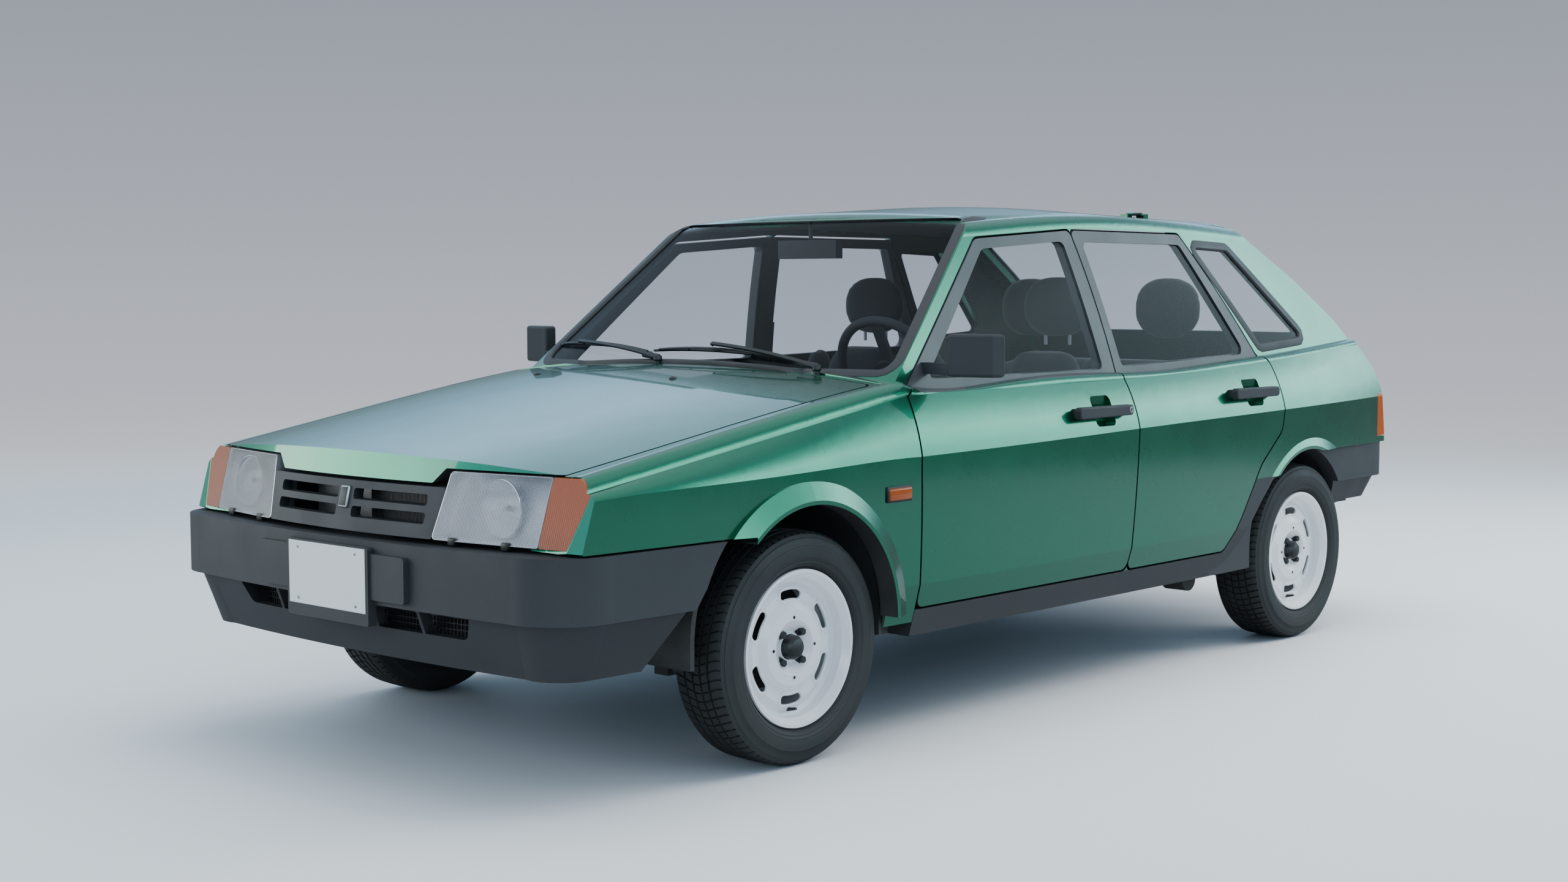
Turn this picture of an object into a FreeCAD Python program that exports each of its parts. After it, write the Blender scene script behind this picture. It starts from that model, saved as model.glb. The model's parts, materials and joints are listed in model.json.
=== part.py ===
import FreeCAD, Part
import math
import os
from typing import NamedTuple

Vec = FreeCAD.Vector
X_AXIS = Vec(1, 0, 0)
Y_AXIS = Vec(0, 1, 0)
Z_AXIS = Vec(0, 0, 1)

# Driving dimensions in millimetres, one sheet cell each
SIZES = {
    # overall
    "wheelbase": 2460,
    "front_overhang": 830,
    "rear_overhang": 716,
    "body_half_width": 812,
    "roof_height": 1412,
    "body_bottom": 262,
    "gutter_height": 1334,
    "gutter_half_width": 603,
    # walls and gaps
    "door_wall": 66,
    "frame_wall": 36,
    "panel_wall": 20,
    "shut_gap": 6,
    "seat_gap": 0.3,
    "glass_inset": 5,
    "glass_thick": 4,
    # wheels
    "wheel_radius": 288,
    "tyre_width": 177,
    "rim_radius": 178,
    "wheel_plane": 696,
    "front_arch_radius": 312,
    "rear_arch_radius": 306,
    "arch_height": 330,
    "rear_arch_height": 322,
    "arch_flare": 55,
    "slot_inner": 119,
    "slot_outer": 142,
    # power unit and tanks
    "engine_width": 640,
    "engine_depth": 470,
    "engine_tall": 430,
    "radiator_width": 520,
    "radiator_thick": 30,
    "radiator_tall": 290,
    "tank_width": 540,
    "tank_depth": 125,
    "tank_tall": 115,
    # steering wheel
    "steering_side": 370,
    "steering_radius": 185,
    "steering_grip": 14,
}

doc = FreeCAD.newDocument("hatchback_car")
sheet = doc.addObject("Spreadsheet::Sheet", "sizes")
for row, (name, value) in enumerate(SIZES.items(), 1):
    sheet.set(f"A{row}", name)
    sheet.set(f"B{row}", str(value))
    sheet.setAlias(f"B{row}", name)
doc.recompute()


class Dimensions:
    """Reads a driving size out of the sheet by its alias."""

    def __getattr__(self, name):
        return float(sheet.get(name))


d = Dimensions()

LENGTH = d.front_overhang + d.wheelbase + d.rear_overhang
FRONT_AXLE = d.front_overhang - LENGTH / 2
REAR_AXLE = FRONT_AXLE + d.wheelbase


def from_front(offset):
    """A station measured backwards from the front axle."""
    return FRONT_AXLE + offset


def from_rear(offset):
    """A station measured backwards from the rear axle."""
    return REAR_AXLE + offset


def line(start, end):
    return Part.LineSegment(start, end).toShape()


def arc(start, middle, end):
    return Part.Arc(start, middle, end).toShape()


def bulged(start, end, bulge, outward):
    """An arc whose middle stands off the chord by bulge along outward."""
    return arc(start, (start + end) * 0.5 + outward * bulge, end)


def rounded_wire(points, radii):
    """A closed wire through the points, each corner rounded by its radius."""
    corners = []
    for index, corner in enumerate(points):
        before = (points[index - 1] - corner).normalize()
        after = (points[(index + 1) % len(points)] - corner).normalize()
        half_angle = before.getAngle(after) / 2
        reach = radii[index] / math.tan(half_angle)
        if radii[index] == 0:
            corners.append((corner, None, corner))
            continue
        centre_way = (before + after).normalize()
        centre = corner + centre_way * (radii[index] / math.sin(half_angle))
        corners.append((corner + before * reach, centre - centre_way * radii[index], corner + after * reach))
    edges = []
    for index, (start, middle, end) in enumerate(corners):
        if middle is not None:
            edges.append(arc(start, middle, end))
        edges.append(line(end, corners[(index + 1) % len(corners)][0]))
    return Part.Wire(edges)


def moved_inwards(points, inset):
    """Corners of a closed flat outline, given as (a, b) pairs anticlockwise, moved in by inset."""
    result = []
    for index, (a, b) in enumerate(points):
        a0, b0 = points[index - 1]
        a1, b1 = points[(index + 1) % len(points)]
        first = math.hypot(a - a0, b - b0)
        second = math.hypot(a1 - a, b1 - b)
        n1 = (-(b - b0) / first, (a - a0) / first)
        n2 = (-(b1 - b) / second, (a1 - a) / second)
        share = inset / (1 + n1[0] * n2[0] + n1[1] * n2[1])
        result.append((a + (n1[0] + n2[0]) * share, b + (n1[1] + n2[1]) * share))
    return result


# Outer form of the body

class LowerStation(NamedTuple):
    """Half section of the body below the windows, at one place along it."""

    y: float
    crease_in: float
    crease_z: float
    shoulder_in: float
    shoulder_z: float
    top_in: float
    top_z: float
    middle_z: float


DOOR_START = LowerStation(from_front(430), 6, 731, 60, 884, 92, 921, 960)
WING_STATIONS = [
    LowerStation(from_front(-1000), 70, 636, 84, 661, 122, 691, 735),
    LowerStation(from_front(-650), 46, 700, 72, 716, 115, 750, 793),
    LowerStation(from_front(-300), 25, 712, 65, 771, 111, 810, 851),
    LowerStation(from_front(0), 15, 720, 61, 818, 108, 861, 901),
    DOOR_START,
]
DOOR_STATIONS = [
    DOOR_START,
    LowerStation(from_front(500), 5, 732, 60, 886, 79, 903, 960),
    LowerStation(from_front(900), 2, 738, 59, 889, 77, 905, 962),
    LowerStation(from_front(1450), 0, 750, 58, 893, 75, 909, 966),
    LowerStation(from_rear(-460), 1, 760, 62, 906, 79, 922, 974),
    LowerStation(from_rear(-110), 4, 766, 68, 921, 85, 937, 986),
    LowerStation(from_rear(240), 15, 772, 79, 941, 96, 957, 1002),
    LowerStation(from_rear(540), 34, 777, 97, 960, 114, 976, 1018),
    LowerStation(from_rear(840), 60, 780, 122, 976, 140, 992, 1032),
]
TUCK_HEIGHT = 400
TUCK_IN = 8
SILL_IN = 45
SIDE_BULGE = 3
SHOULDER_BULGE = 7


def lower_section(station, side_inset, top_inset, bottom):
    """One closed section of the lower body, moved in at the sides and the top."""
    half = d.body_half_width - side_inset
    y = station.y
    foot = Vec(half - station.crease_in - SILL_IN, y, bottom)
    tuck = Vec(half - station.crease_in - TUCK_IN, y, TUCK_HEIGHT)
    crease = Vec(half - station.crease_in, y, station.crease_z)
    shoulder = Vec(half - station.shoulder_in, y, station.shoulder_z - top_inset)
    top = Vec(half - station.top_in, y, station.top_z - top_inset)
    middle = Vec(0, y, station.middle_z - top_inset)
    out_and_up = Vec(1, 0, 1).normalize()
    right = [
        line(foot, tuck),
        bulged(tuck, crease, SIDE_BULGE, X_AXIS),
        bulged(crease, shoulder, SHOULDER_BULGE, X_AXIS),
        bulged(shoulder, top, shoulder.distanceToPoint(top) * 0.2, out_and_up),
    ]
    crown = arc(top, middle, Vec(-top.x, y, top.z))
    left = [edge.mirror(Vec(), X_AXIS) for edge in reversed(right)]
    return Part.Wire(right + [crown] + left + [line(Vec(-foot.x, y, bottom), foot)])


def lower_form(side_inset, top_inset, bottom):
    """The body below the windows: two smooth runs that meet at the front edge of the front doors."""
    runs = []
    for stations in (WING_STATIONS, DOOR_STATIONS):
        sections = [lower_section(station, side_inset, top_inset, bottom) for station in stations]
        runs.append(Part.makeLoft(sections, True, False))
    return runs[0].fuse(runs[1])


class UpperStation(NamedTuple):
    """Half section of the window part of the body."""

    y: float
    base_in: float
    base_z: float
    gutter_in: float
    gutter_z: float


UPPER_STATIONS = [
    UpperStation(from_front(376), 81, 860, 13, 1290),
    UpperStation(from_front(900), 79, 860, 5, 1303),
    UpperStation(from_front(1400), 77, 865, 0, 1334),
    UpperStation(from_rear(-503), 81, 880, 6, 1330),
    UpperStation(from_rear(-144), 87, 895, 15, 1314),
    UpperStation(from_rear(240), 99, 915, 33, 1290),
    UpperStation(from_rear(690), 117, 940, 58, 1260),
]
ROOF_ROLL = 46
ROOF_ROLL_RISE = 40


def upper_section(station, inset):
    y = station.y
    base = Vec(d.body_half_width - station.base_in - inset, y, station.base_z)
    gutter = Vec(d.gutter_half_width - station.gutter_in - inset, y, station.gutter_z)
    roof_edge = gutter + Vec(-ROOF_ROLL, 0, ROOF_ROLL_RISE)
    right = [
        bulged(base, gutter, SHOULDER_BULGE, X_AXIS),
        bulged(gutter, roof_edge, 11, Vec(1, 0, 1).normalize()),
    ]
    crown = arc(roof_edge, Vec(0, y, d.roof_height + 60), Vec(-roof_edge.x, y, roof_edge.z))
    left = [edge.mirror(Vec(), X_AXIS) for edge in reversed(right)]
    return Part.Wire(right + [crown] + left + [line(Vec(-base.x, y, base.z), base)])


def upper_form(inset):
    return Part.makeLoft([upper_section(station, inset) for station in UPPER_STATIONS], True, False)


class ProfilePoint(NamedTuple):
    """A corner of the side view, with how far its line bends back and drops at the sides."""

    y: float
    z: float
    back: float
    drop: float
    radius: float


BOW_WIDTH = 750
PROFILE = [
    ProfilePoint(from_front(-770), 180, 92, 0, 0),
    ProfilePoint(from_rear(668), 180, -70, 0, 0),
    ProfilePoint(from_rear(668), 635, -70, 0, 200),
    ProfilePoint(from_rear(628), 850, -64, 8, 220),
    ProfilePoint(from_rear(490), 1046, -52, 30, 400),
    ProfilePoint(from_rear(240), 1213, -48, 44, 900),
    ProfilePoint(from_rear(-100), 1391, -44, 56, 90),
    ProfilePoint(from_front(1450), 1413, 0, 60, 2500),
    ProfilePoint(from_front(884), 1378, 66, 40, 140),
    ProfilePoint(from_front(384), 960, 45, 48, 0),
    ProfilePoint(from_front(-704), 960, 92, 48, 0),
    ProfilePoint(from_front(-791), 585, 84, 0, 0),
    ProfilePoint(from_front(-770), 560, 92, 0, 0),
]


def profile_wire(x, inset):
    """The side view at distance x from the centre plane."""
    share = abs(x) / BOW_WIDTH
    nose_share = share ** 1.5
    tail_share = share ** 2
    corners = []
    for point in PROFILE:
        bend = nose_share if point.y < from_front(300) else tail_share
        corners.append((point.y + point.back * bend, point.z - point.drop * tail_share))
    corners = moved_inwards(corners, inset)
    return rounded_wire([Vec(x, y, z) for y, z in corners], [point.radius for point in PROFILE])


def profile_form(inset):
    places = [-1.2, -0.6, 0, 0.6, 1.2]
    return Part.makeLoft([profile_wire(share * BOW_WIDTH, inset) for share in places], True, False)


def box(x0, x1, y0, y1, z0, z1):
    return Part.makeBox(x1 - x0, y1 - y0, z1 - z0, Vec(x0, y0, z0))


def rod(start, end, radius):
    """A round bar between two points."""
    return Part.makeCylinder(radius, start.distanceToPoint(end), start, end - start)


def mirrored(shape):
    """The same shape on the other side of the centre plane."""
    return shape.mirror(Vec(), X_AXIS)


def both_sides(shape):
    return Part.makeCompound([shape, mirrored(shape)])


def fused(shapes):
    """One solid from shapes that touch or overlap."""
    return shapes[0].multiFuse(shapes[1:]).removeSplitter()


def prism(points, radii, way, depth):
    """A block pulled from a rounded outline along a way."""
    face = Part.Face(rounded_wire(points, radii))
    return face.extrude(way * depth)


def side_prism(outline, x0, x1):
    """A block with the side view outline (y, z, radius) between two x planes."""
    points = [Vec(x0, y, z) for y, z, radius in outline]
    return prism(points, [radius for y, z, radius in outline], X_AXIS, x1 - x0)


def front_prism(outline, y0, y1):
    """A block with the front view outline (x, z, radius) between two y planes."""
    points = [Vec(x, y0, z) for x, z, radius in outline]
    return prism(points, [radius for x, z, radius in outline], Y_AXIS, y1 - y0)


def plan_prism(outline, z0, z1):
    """A block with the plan outline (x, y, radius) between two heights."""
    points = [Vec(x, y, z0) for x, y, radius in outline]
    return prism(points, [radius for x, y, radius in outline], Z_AXIS, z1 - z0)


def grown(outline, gap):
    """The outline (a, b, radius), anticlockwise, moved outwards by gap."""
    moved = moved_inwards([(a, b) for a, b, radius in outline], -gap)
    return [(a, b, radius + gap if radius else 0) for (a, b), (c, e, radius) in zip(moved, outline)]


def place(label, shape, placement=None):
    """One sub-part of the car as a document object."""
    feature = doc.addObject("Part::Feature", label)
    feature.Label = label
    feature.Shape = shape
    feature.Placement = placement or FreeCAD.Placement()
    return feature


def biggest(shape):
    """The largest solid of a shape, without slivers."""
    return max(shape.Solids, key=lambda solid: solid.Volume)


def clean(shape, least=20000):
    """The solids of a shape that are more than slivers, in cubic millimetres."""
    kept = [solid for solid in shape.Solids if solid.Volume > least]
    return kept[0] if len(kept) == 1 else Part.makeCompound(kept)


# Hollow forms of the body, each one nested in the one before

WIDE = 1000
BULKHEAD = from_front(330)
FLOOR_TOP = 285

outer = lower_form(0, 0, d.body_bottom).fuse(upper_form(0)).common(profile_form(0))
cabin_cut = lower_form(d.door_wall, 10, FLOOR_TOP).fuse(upper_form(d.frame_wall)).common(profile_form(30))
cabin_cut = cabin_cut.common(box(-WIDE, WIDE, BULKHEAD + d.panel_wall, from_rear(900), 0, 2000))
engine_cut = lower_form(d.panel_wall, d.panel_wall, 100).common(profile_form(d.panel_wall))
engine_cut = engine_cut.common(box(-WIDE, WIDE, from_front(-1000), BULKHEAD + d.panel_wall, 0, 2000))
shell = outer.cut(cabin_cut).cut(engine_cut)
glass_outer = upper_form(d.glass_inset).common(profile_form(d.glass_inset))
glass_inner = upper_form(d.glass_inset + d.glass_thick).common(profile_form(d.glass_inset + d.glass_thick))
glass_layer = glass_outer.cut(glass_inner)

# Side view outlines, as (y, z, radius) anticlockwise seen from the left

DOOR_BOTTOM = 338
FRONT_DOOR = [
    (from_front(434), DOOR_BOTTOM, 25),
    (from_front(1400), DOOR_BOTTOM, 25),
    (from_front(1430), 750, 0),
    (from_front(1425), 908, 0),
    (from_front(1360), 1326, 20),
    (from_front(912), 1296, 45),
    (from_front(478), 912, 0),
    (from_front(436), 880, 0),
    (from_front(430), 700, 0),
]
FRONT_WINDOW = [
    (from_front(560), 922, 12),
    (from_front(1374), 922, 18),
    (from_front(1316), 1294, 22),
    (from_front(930), 1268, 40),
]
REAR_DOOR = [
    (from_front(1406), DOOR_BOTTOM, 25),
    (from_rear(-512), DOOR_BOTTOM, 30),
    (from_rear(-430), 440, 150),
    (from_rear(-320), 600, 150),
    (from_rear(-190), 700, 60),
    (from_rear(-175), 773, 0),
    (from_rear(-184), 914, 0),
    (from_rear(-217), 943, 0),
    (from_rear(-491), 1323, 25),
    (from_front(1366), 1326, 20),
    (from_front(1431), 908, 0),
    (from_front(1436), 750, 0),
]
REAR_WINDOW = [
    (from_front(1474), 926, 18),
    (from_rear(-262), 944, 22),
    (from_rear(-505), 1291, 25),
    (from_front(1410), 1294, 22),
]
QUARTER_WINDOW = [
    (from_rear(-160), 962, 16),
    (from_rear(170), 982, 20),
    (from_rear(-205), 1282, 20),
    (from_rear(-440), 1290, 16),
]
SEAM_LEAN_FRONT = 0.2
SEAM_LEAN_REAR = 0.36


def door_block(outline, gap, front_lean, rear_lean, lean_from):
    """The outline pulled outwards, its upright edges leaning back with the swing where they are high."""
    grown_outline = grown(outline, gap)
    middle = sum(y for y, z, radius in outline) / len(outline)
    wires = []
    for x in (300, 1000):
        points = []
        for y, z, radius in grown_outline:
            high = max(0, (z - lean_from) / (d.gutter_height - lean_from))
            lean = rear_lean if y > middle else front_lean
            shift = lean * high * (x - d.gutter_half_width)
            points.append(Vec(x, y + shift, z))
        wires.append(rounded_wire(points, [radius for y, z, radius in outline]))
    return Part.makeLoft(wires, True, True)


CREASE = 760
front_block = door_block(FRONT_DOOR, 0, 0, SEAM_LEAN_FRONT, CREASE)
rear_block = door_block(REAR_DOOR, 0, SEAM_LEAN_FRONT, SEAM_LEAN_REAR, CREASE)
front_hole = door_block(FRONT_DOOR, d.shut_gap, 0, SEAM_LEAN_FRONT, CREASE)
rear_hole = door_block(REAR_DOOR, d.shut_gap, SEAM_LEAN_FRONT, SEAM_LEAN_REAR, CREASE)

# Wheel arches

FRONT_ARCH = Vec(0, from_front(5), d.arch_height)
REAR_ARCH = Vec(0, from_rear(-5), d.rear_arch_height)
WHEEL_WALL = 445


def arch_space(centre, radius, x0, x1):
    """The open space of a wheel arch: a drum with straight legs down from it."""
    drum = Part.makeCylinder(radius, x1 - x0, Vec(x0, centre.y, centre.z), X_AXIS)
    legs = box(x0, x1, centre.y - radius, centre.y + radius, 0, centre.z)
    return drum.fuse(legs).removeSplitter()


def flare(centre, radius, x_lip, x_root):
    """The raised rim round an arch, a turned ring with straight legs."""
    width = d.arch_flare
    ring = [
        Vec(x_root - 40, centre.y, centre.z + radius),
        Vec(x_lip, centre.y, centre.z + radius),
        Vec(x_lip + 1, centre.y, centre.z + radius + 10),
        Vec(x_root, centre.y, centre.z + radius + width),
        Vec(x_root - 40, centre.y, centre.z + radius + width),
    ]
    face = Part.Face(Part.makePolygon(ring + [ring[0]]))
    turned = face.revolve(centre, X_AXIS, 90)
    turned = turned.fuse(face.revolve(centre, X_AXIS, -90)).removeSplitter()
    return turned


front_arch = arch_space(FRONT_ARCH, d.front_arch_radius, WHEEL_WALL, 900)
rear_arch = arch_space(REAR_ARCH, d.rear_arch_radius, WHEEL_WALL, 900)

# Doors

def door(block, window):
    slab = shell.common(block).common(box(0, WIDE, -3000, 3000, 0, 2000))
    opening = side_prism(window, 300, 1000)
    return biggest(slab.cut(opening))


PILLAR_HALF = 40
PILLAR_INSET = 24
pillar_zone = side_prism([
    (from_front(1403 - PILLAR_HALF), 300, 0), (from_front(1403 + PILLAR_HALF), 300, 0),
    (from_front(1430 + PILLAR_HALF), 750, 0), (from_front(1428 + PILLAR_HALF), 908, 0),
    (from_front(1363 + PILLAR_HALF), 1322, 0), (from_front(1363 - PILLAR_HALF), 1322, 0),
    (from_front(1428 - PILLAR_HALF), 908, 0), (from_front(1430 - PILLAR_HALF), 750, 0)], 300, 1000)
pillar_space = side_prism([
    (from_front(1403 - PILLAR_HALF - d.shut_gap), 290, 0), (from_front(1403 + PILLAR_HALF + d.shut_gap), 290, 0),
    (from_front(1430 + PILLAR_HALF + d.shut_gap), 750, 0), (from_front(1428 + PILLAR_HALF + d.shut_gap), 908, 0),
    (from_front(1363 + PILLAR_HALF + d.shut_gap), 1340, 0), (from_front(1363 - PILLAR_HALF - d.shut_gap), 1340, 0),
    (from_front(1428 - PILLAR_HALF - d.shut_gap), 908, 0), (from_front(1430 - PILLAR_HALF - d.shut_gap), 750, 0)],
    300, 1000)
behind_doors = lower_form(PILLAR_INSET, 0, 100).fuse(upper_form(PILLAR_INSET)).common(profile_form(10))
behind_pillar = lower_form(PILLAR_INSET + d.shut_gap, 0, 100).fuse(upper_form(PILLAR_INSET + d.shut_gap))
behind_pillar = behind_pillar.common(profile_form(10))
pillar_cut = behind_doors.common(pillar_space)
pillar = shell.common(pillar_zone).common(behind_pillar)
STOP_RADIUS = 7
stop_reach = lower_form(PILLAR_INSET + d.seat_gap, 0, 100)
for y, z in ((from_front(1400), 560), (from_front(1400), 690), (from_front(1456), 560), (from_front(1456), 690)):
    stop = Part.makeCylinder(STOP_RADIUS, 60, Vec(750, y, z), X_AXIS)
    pillar = pillar.fuse(stop.common(stop_reach))

HANDLE_CUP_FLOOR = 772


def handle_cup(y, z):
    """The hollow behind a door handle, y and z at its middle."""
    outline = [(y - 49, z - 43, 16), (y + 49, z - 43, 16), (y + 49, z + 43, 16), (y - 49, z + 43, 16)]
    return side_prism(outline, HANDLE_CUP_FLOOR, WIDE)


FRONT_CUP = (from_front(1269), 808)
REAR_CUP = (from_front(2115), 828)
front_door = door(front_block, FRONT_WINDOW).cut(pillar_cut).cut(handle_cup(*FRONT_CUP))
rear_door = door(rear_block, REAR_WINDOW).cut(pillar_cut).cut(handle_cup(*REAR_CUP))
place("door_front_left", biggest(front_door))
place("door_front_right", mirrored(biggest(front_door)))
place("door_rear_left", biggest(rear_door))
place("door_rear_right", mirrored(biggest(rear_door)))


def pane(window):
    """A side window pane, set just inside its opening."""
    outline = grown(window, -d.seat_gap)
    return biggest(glass_layer.common(side_prism(outline, 300, 1000)))


for name, window in (("front", FRONT_WINDOW), ("rear", REAR_WINDOW)):
    glass = pane(window)
    place(f"glass_{name}_left", glass)
    place(f"glass_{name}_right", mirrored(glass))
place("quarter_windows", both_sides(pane(QUARTER_WINDOW)))

# Windscreen and tailgate, as front view outlines (x, z, radius)

SCREEN = [(-688, 938, 30), (688, 938, 30), (553, 1356, 45), (-553, 1356, 45)]
screen_zone = (from_front(300), from_front(1050))
windscreen = glass_layer.common(front_prism(grown(SCREEN, -d.seat_gap), *screen_zone))
place("windscreen", biggest(windscreen))
screen_hole = front_prism(SCREEN, *screen_zone)

TAILGATE = [
    (-520, 645, 30), (520, 645, 30), (538, 794, 15), (690, 797, 0), (690, 1450, 0), (-690, 1450, 0),
    (-690, 797, 0), (-538, 794, 15)]
TAILGATE_FRONT = from_rear(-165)
TAILGATE_HINGE = Vec(0, TAILGATE_FRONT - 8, 1403)
HINGE_RADIUS = 5
HINGE_LENGTH = 30
HINGE_START = 200
TAILGATE_SIDES = [(-530, 0, 0), (530, 0, 0), (548, 246, 0), (640, 852, 0), (668, 983, 0), (690, 1300, 0),
                  (-690, 1300, 0), (-668, 983, 0), (-640, 852, 0), (-548, 246, 0)]
REAR_GLASS = [(-590, 985, 40), (590, 985, 40), (500, 1330, 50), (-500, 1330, 50)]
tail_zone = (TAILGATE_FRONT, from_rear(900))


def tail_shape(gap):
    """Where the tailgate lies: its side edges are turned about the hinge, so that they never close in."""
    front = front_prism(grown(TAILGATE, gap), TAILGATE_FRONT - gap, from_rear(900))
    points = [Vec(x, TAILGATE_HINGE.y + max(0, reach), TAILGATE_HINGE.z)
              for x, reach, radius in grown(TAILGATE_SIDES, gap)]
    flat = Part.Face(rounded_wire(points, [0] * len(points)))
    turned = flat.revolve(TAILGATE_HINGE, X_AXIS, 30).fuse(flat.revolve(TAILGATE_HINGE, X_AXIS, -120))
    return front.common(turned)


def hinge_half(start, way):
    """A knuckle on the hinge line with its strap, which runs to its panel; way is 1 on the tailgate."""
    end = start + HINGE_LENGTH
    y, z = TAILGATE_HINGE.y, TAILGATE_HINGE.z
    knuckle = Part.makeCylinder(HINGE_RADIUS, HINGE_LENGTH, Vec(start, y, z), X_AXIS)
    strap = side_prism([(y, z, 0), (y, z - HINGE_RADIUS, 0), (y + way * 12, z - HINGE_RADIUS, 0),
                        (y + way * 14, z - 25, 0), (y + way * 40, z - 25, 0), (y + way * 40, z, 0)], start, end)
    return both_sides(knuckle.fuse(strap))


tail_block = tail_shape(0)
tail_hole = tail_shape(d.shut_gap)
rear_glass_hole = front_prism(REAR_GLASS, *tail_zone)
tailgate = shell.common(tail_block).cut(rear_glass_hole)
tailgate = biggest(tailgate).fuse(hinge_half(HINGE_START + HINGE_LENGTH + d.seat_gap, 1)).removeSplitter()
place("tailgate", biggest(tailgate))
place("tailgate_glass", biggest(glass_layer.common(front_prism(grown(REAR_GLASS, -d.seat_gap), *tail_zone))))

# Roof

ROOF_EDGE = 556
ROOF_PLAN = [
    (-ROOF_EDGE, from_front(800), 0), (ROOF_EDGE, from_front(800), 0),
    (ROOF_EDGE - 20, from_rear(-160), 0), (-ROOF_EDGE + 20, from_rear(-160), 0)]
roof_zone = plan_prism(ROOF_PLAN, 1250, 1500)
roof = shell.common(roof_zone).cut(screen_hole).cut(tail_hole)
roof = biggest(roof).fuse(hinge_half(HINGE_START, -1)).removeSplitter()
place("roof_panel", biggest(roof))

# Bonnet

BONNET_PLAN = [
    (-660, from_front(-900), 0), (660, from_front(-900), 0), (698, from_front(347), 20), (-698, from_front(347), 20)]
BONNET_FRONT = [
    (-296, 717, 8), (296, 717, 8), (332, 752, 8), (720, 752, 0), (720, 1100, 0), (-720, 1100, 0),
    (-720, 752, 0), (-332, 752, 8)]
bonnet_block = plan_prism(BONNET_PLAN, 600, 1100)
bonnet_block = bonnet_block.common(front_prism(BONNET_FRONT, from_front(-900), from_front(400)))
bonnet_hole = plan_prism(grown(BONNET_PLAN, d.shut_gap), 600, 1100)
bonnet_hole = bonnet_hole.common(
    front_prism(grown(BONNET_FRONT, d.shut_gap), from_front(-900), from_front(400)))
place("bonnet", biggest(shell.common(bonnet_block)))

# Lamps and nose

LAMP_BOTTOM = 590
LAMP_TOP = 746
LAMP_DEPTH = 70
lamp_front = from_front(-900)
lamp_line = side_prism([
    (from_front(-900), LAMP_BOTTOM, 0), (from_front(-705), LAMP_BOTTOM, 0), (from_front(-652), LAMP_TOP, 0),
    (from_front(-900), LAMP_TOP, 0)], 0, 900)
lamp_shell = outer.cut(profile_form(LAMP_DEPTH)).common(lamp_line)
HEADLAMP = [(322, LAMP_BOTTOM, 10), (636, LAMP_BOTTOM, 6), (642, LAMP_TOP, 6), (350, LAMP_TOP, 10)]
INDICATOR = [(638, LAMP_BOTTOM, 6), (900, LAMP_BOTTOM, 0), (900, LAMP_TOP, 0), (644, LAMP_TOP, 6)]
headlamp = biggest(lamp_shell.common(front_prism(HEADLAMP, lamp_front, from_front(-500))))
indicator = biggest(lamp_shell.common(front_prism(INDICATOR, lamp_front, from_front(-500))))
place("headlamps", both_sides(headlamp))
place("front_indicators", both_sides(indicator))

# Grille between the headlamps

GRILLE_LOW = 322 - d.seat_gap
GRILLE_HIGH = 341 - d.seat_gap
GRILLE = [(-GRILLE_LOW, LAMP_BOTTOM, 6), (GRILLE_LOW, LAMP_BOTTOM, 6),
          (GRILLE_HIGH, 708, 6), (-GRILLE_HIGH, 708, 6)]
GRILLE_DEPTH = 28
grille = outer.cut(profile_form(GRILLE_DEPTH)).common(front_prism(GRILLE, lamp_front, from_front(-500)))
for row in range(2):
    low = 622 + 42 * row
    for side in (-1, 1):
        slot = [(side * 160 - 130, low, 8), (side * 160 + 130, low, 8),
                (side * 160 + 130, low + 26, 8), (side * 160 - 130, low + 26, 8)]
        grille = grille.cut(front_prism(slot, lamp_front, from_front(-500)))
place("grille", biggest(grille))

# Front wings

wing_zone = side_prism([
    (from_front(-1000), 300, 0), (from_front(428), 300, 0), (from_front(428), 338, 0), (from_front(424), 700, 0),
    (from_front(430), 884, 0), (from_front(430), 1100, 0), (from_front(-1000), 1100, 0)], 0, WIDE)
nose_zone = side_prism([
    (from_front(-1000), 200, 0), (from_front(-200), 200, 0), (from_front(-200), 582, 0),
    (from_front(-707.4), 582, 0), (from_front(-650.6), 749, 0), (from_front(-1000), 749, 0)], 0, 900)
wing = shell.common(wing_zone).cut(nose_zone).cut(bonnet_hole).cut(front_arch)
wing = wing.common(box(600, WIDE, from_front(-1000), from_front(430), 300, 1100))
wing = biggest(wing)
wing = wing.fuse(flare(FRONT_ARCH, d.front_arch_radius, 818, 800).cut(nose_zone)).removeSplitter()
wing = biggest(wing)
place("front_wings", both_sides(wing))

# Sides of the body behind the wings

BUMPER_TOP = 618
HOUSE_WALL = 14
HOUSE_OUT = 725
TAIL_LAMP_BOTTOM = 640
TAIL_LAMP_TOP = 786
TAIL_LAMP = [(548, TAIL_LAMP_BOTTOM, 10), (900, TAIL_LAMP_BOTTOM, 0), (900, TAIL_LAMP_TOP, 0),
             (556, TAIL_LAMP_TOP, 10)]
tail_lamp_zone = (from_rear(530), from_rear(900))
tail_lamp = outer.cut(profile_form(60)).common(front_prism(TAIL_LAMP, *tail_lamp_zone))
tail_lamp = tail_lamp.cut(box(0, 560, 0, 3000, 0, 2000))
place("tail_lamps", both_sides(biggest(tail_lamp)))
tail_lamp_hole = front_prism(grown(TAIL_LAMP, 3), *tail_lamp_zone)

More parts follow.
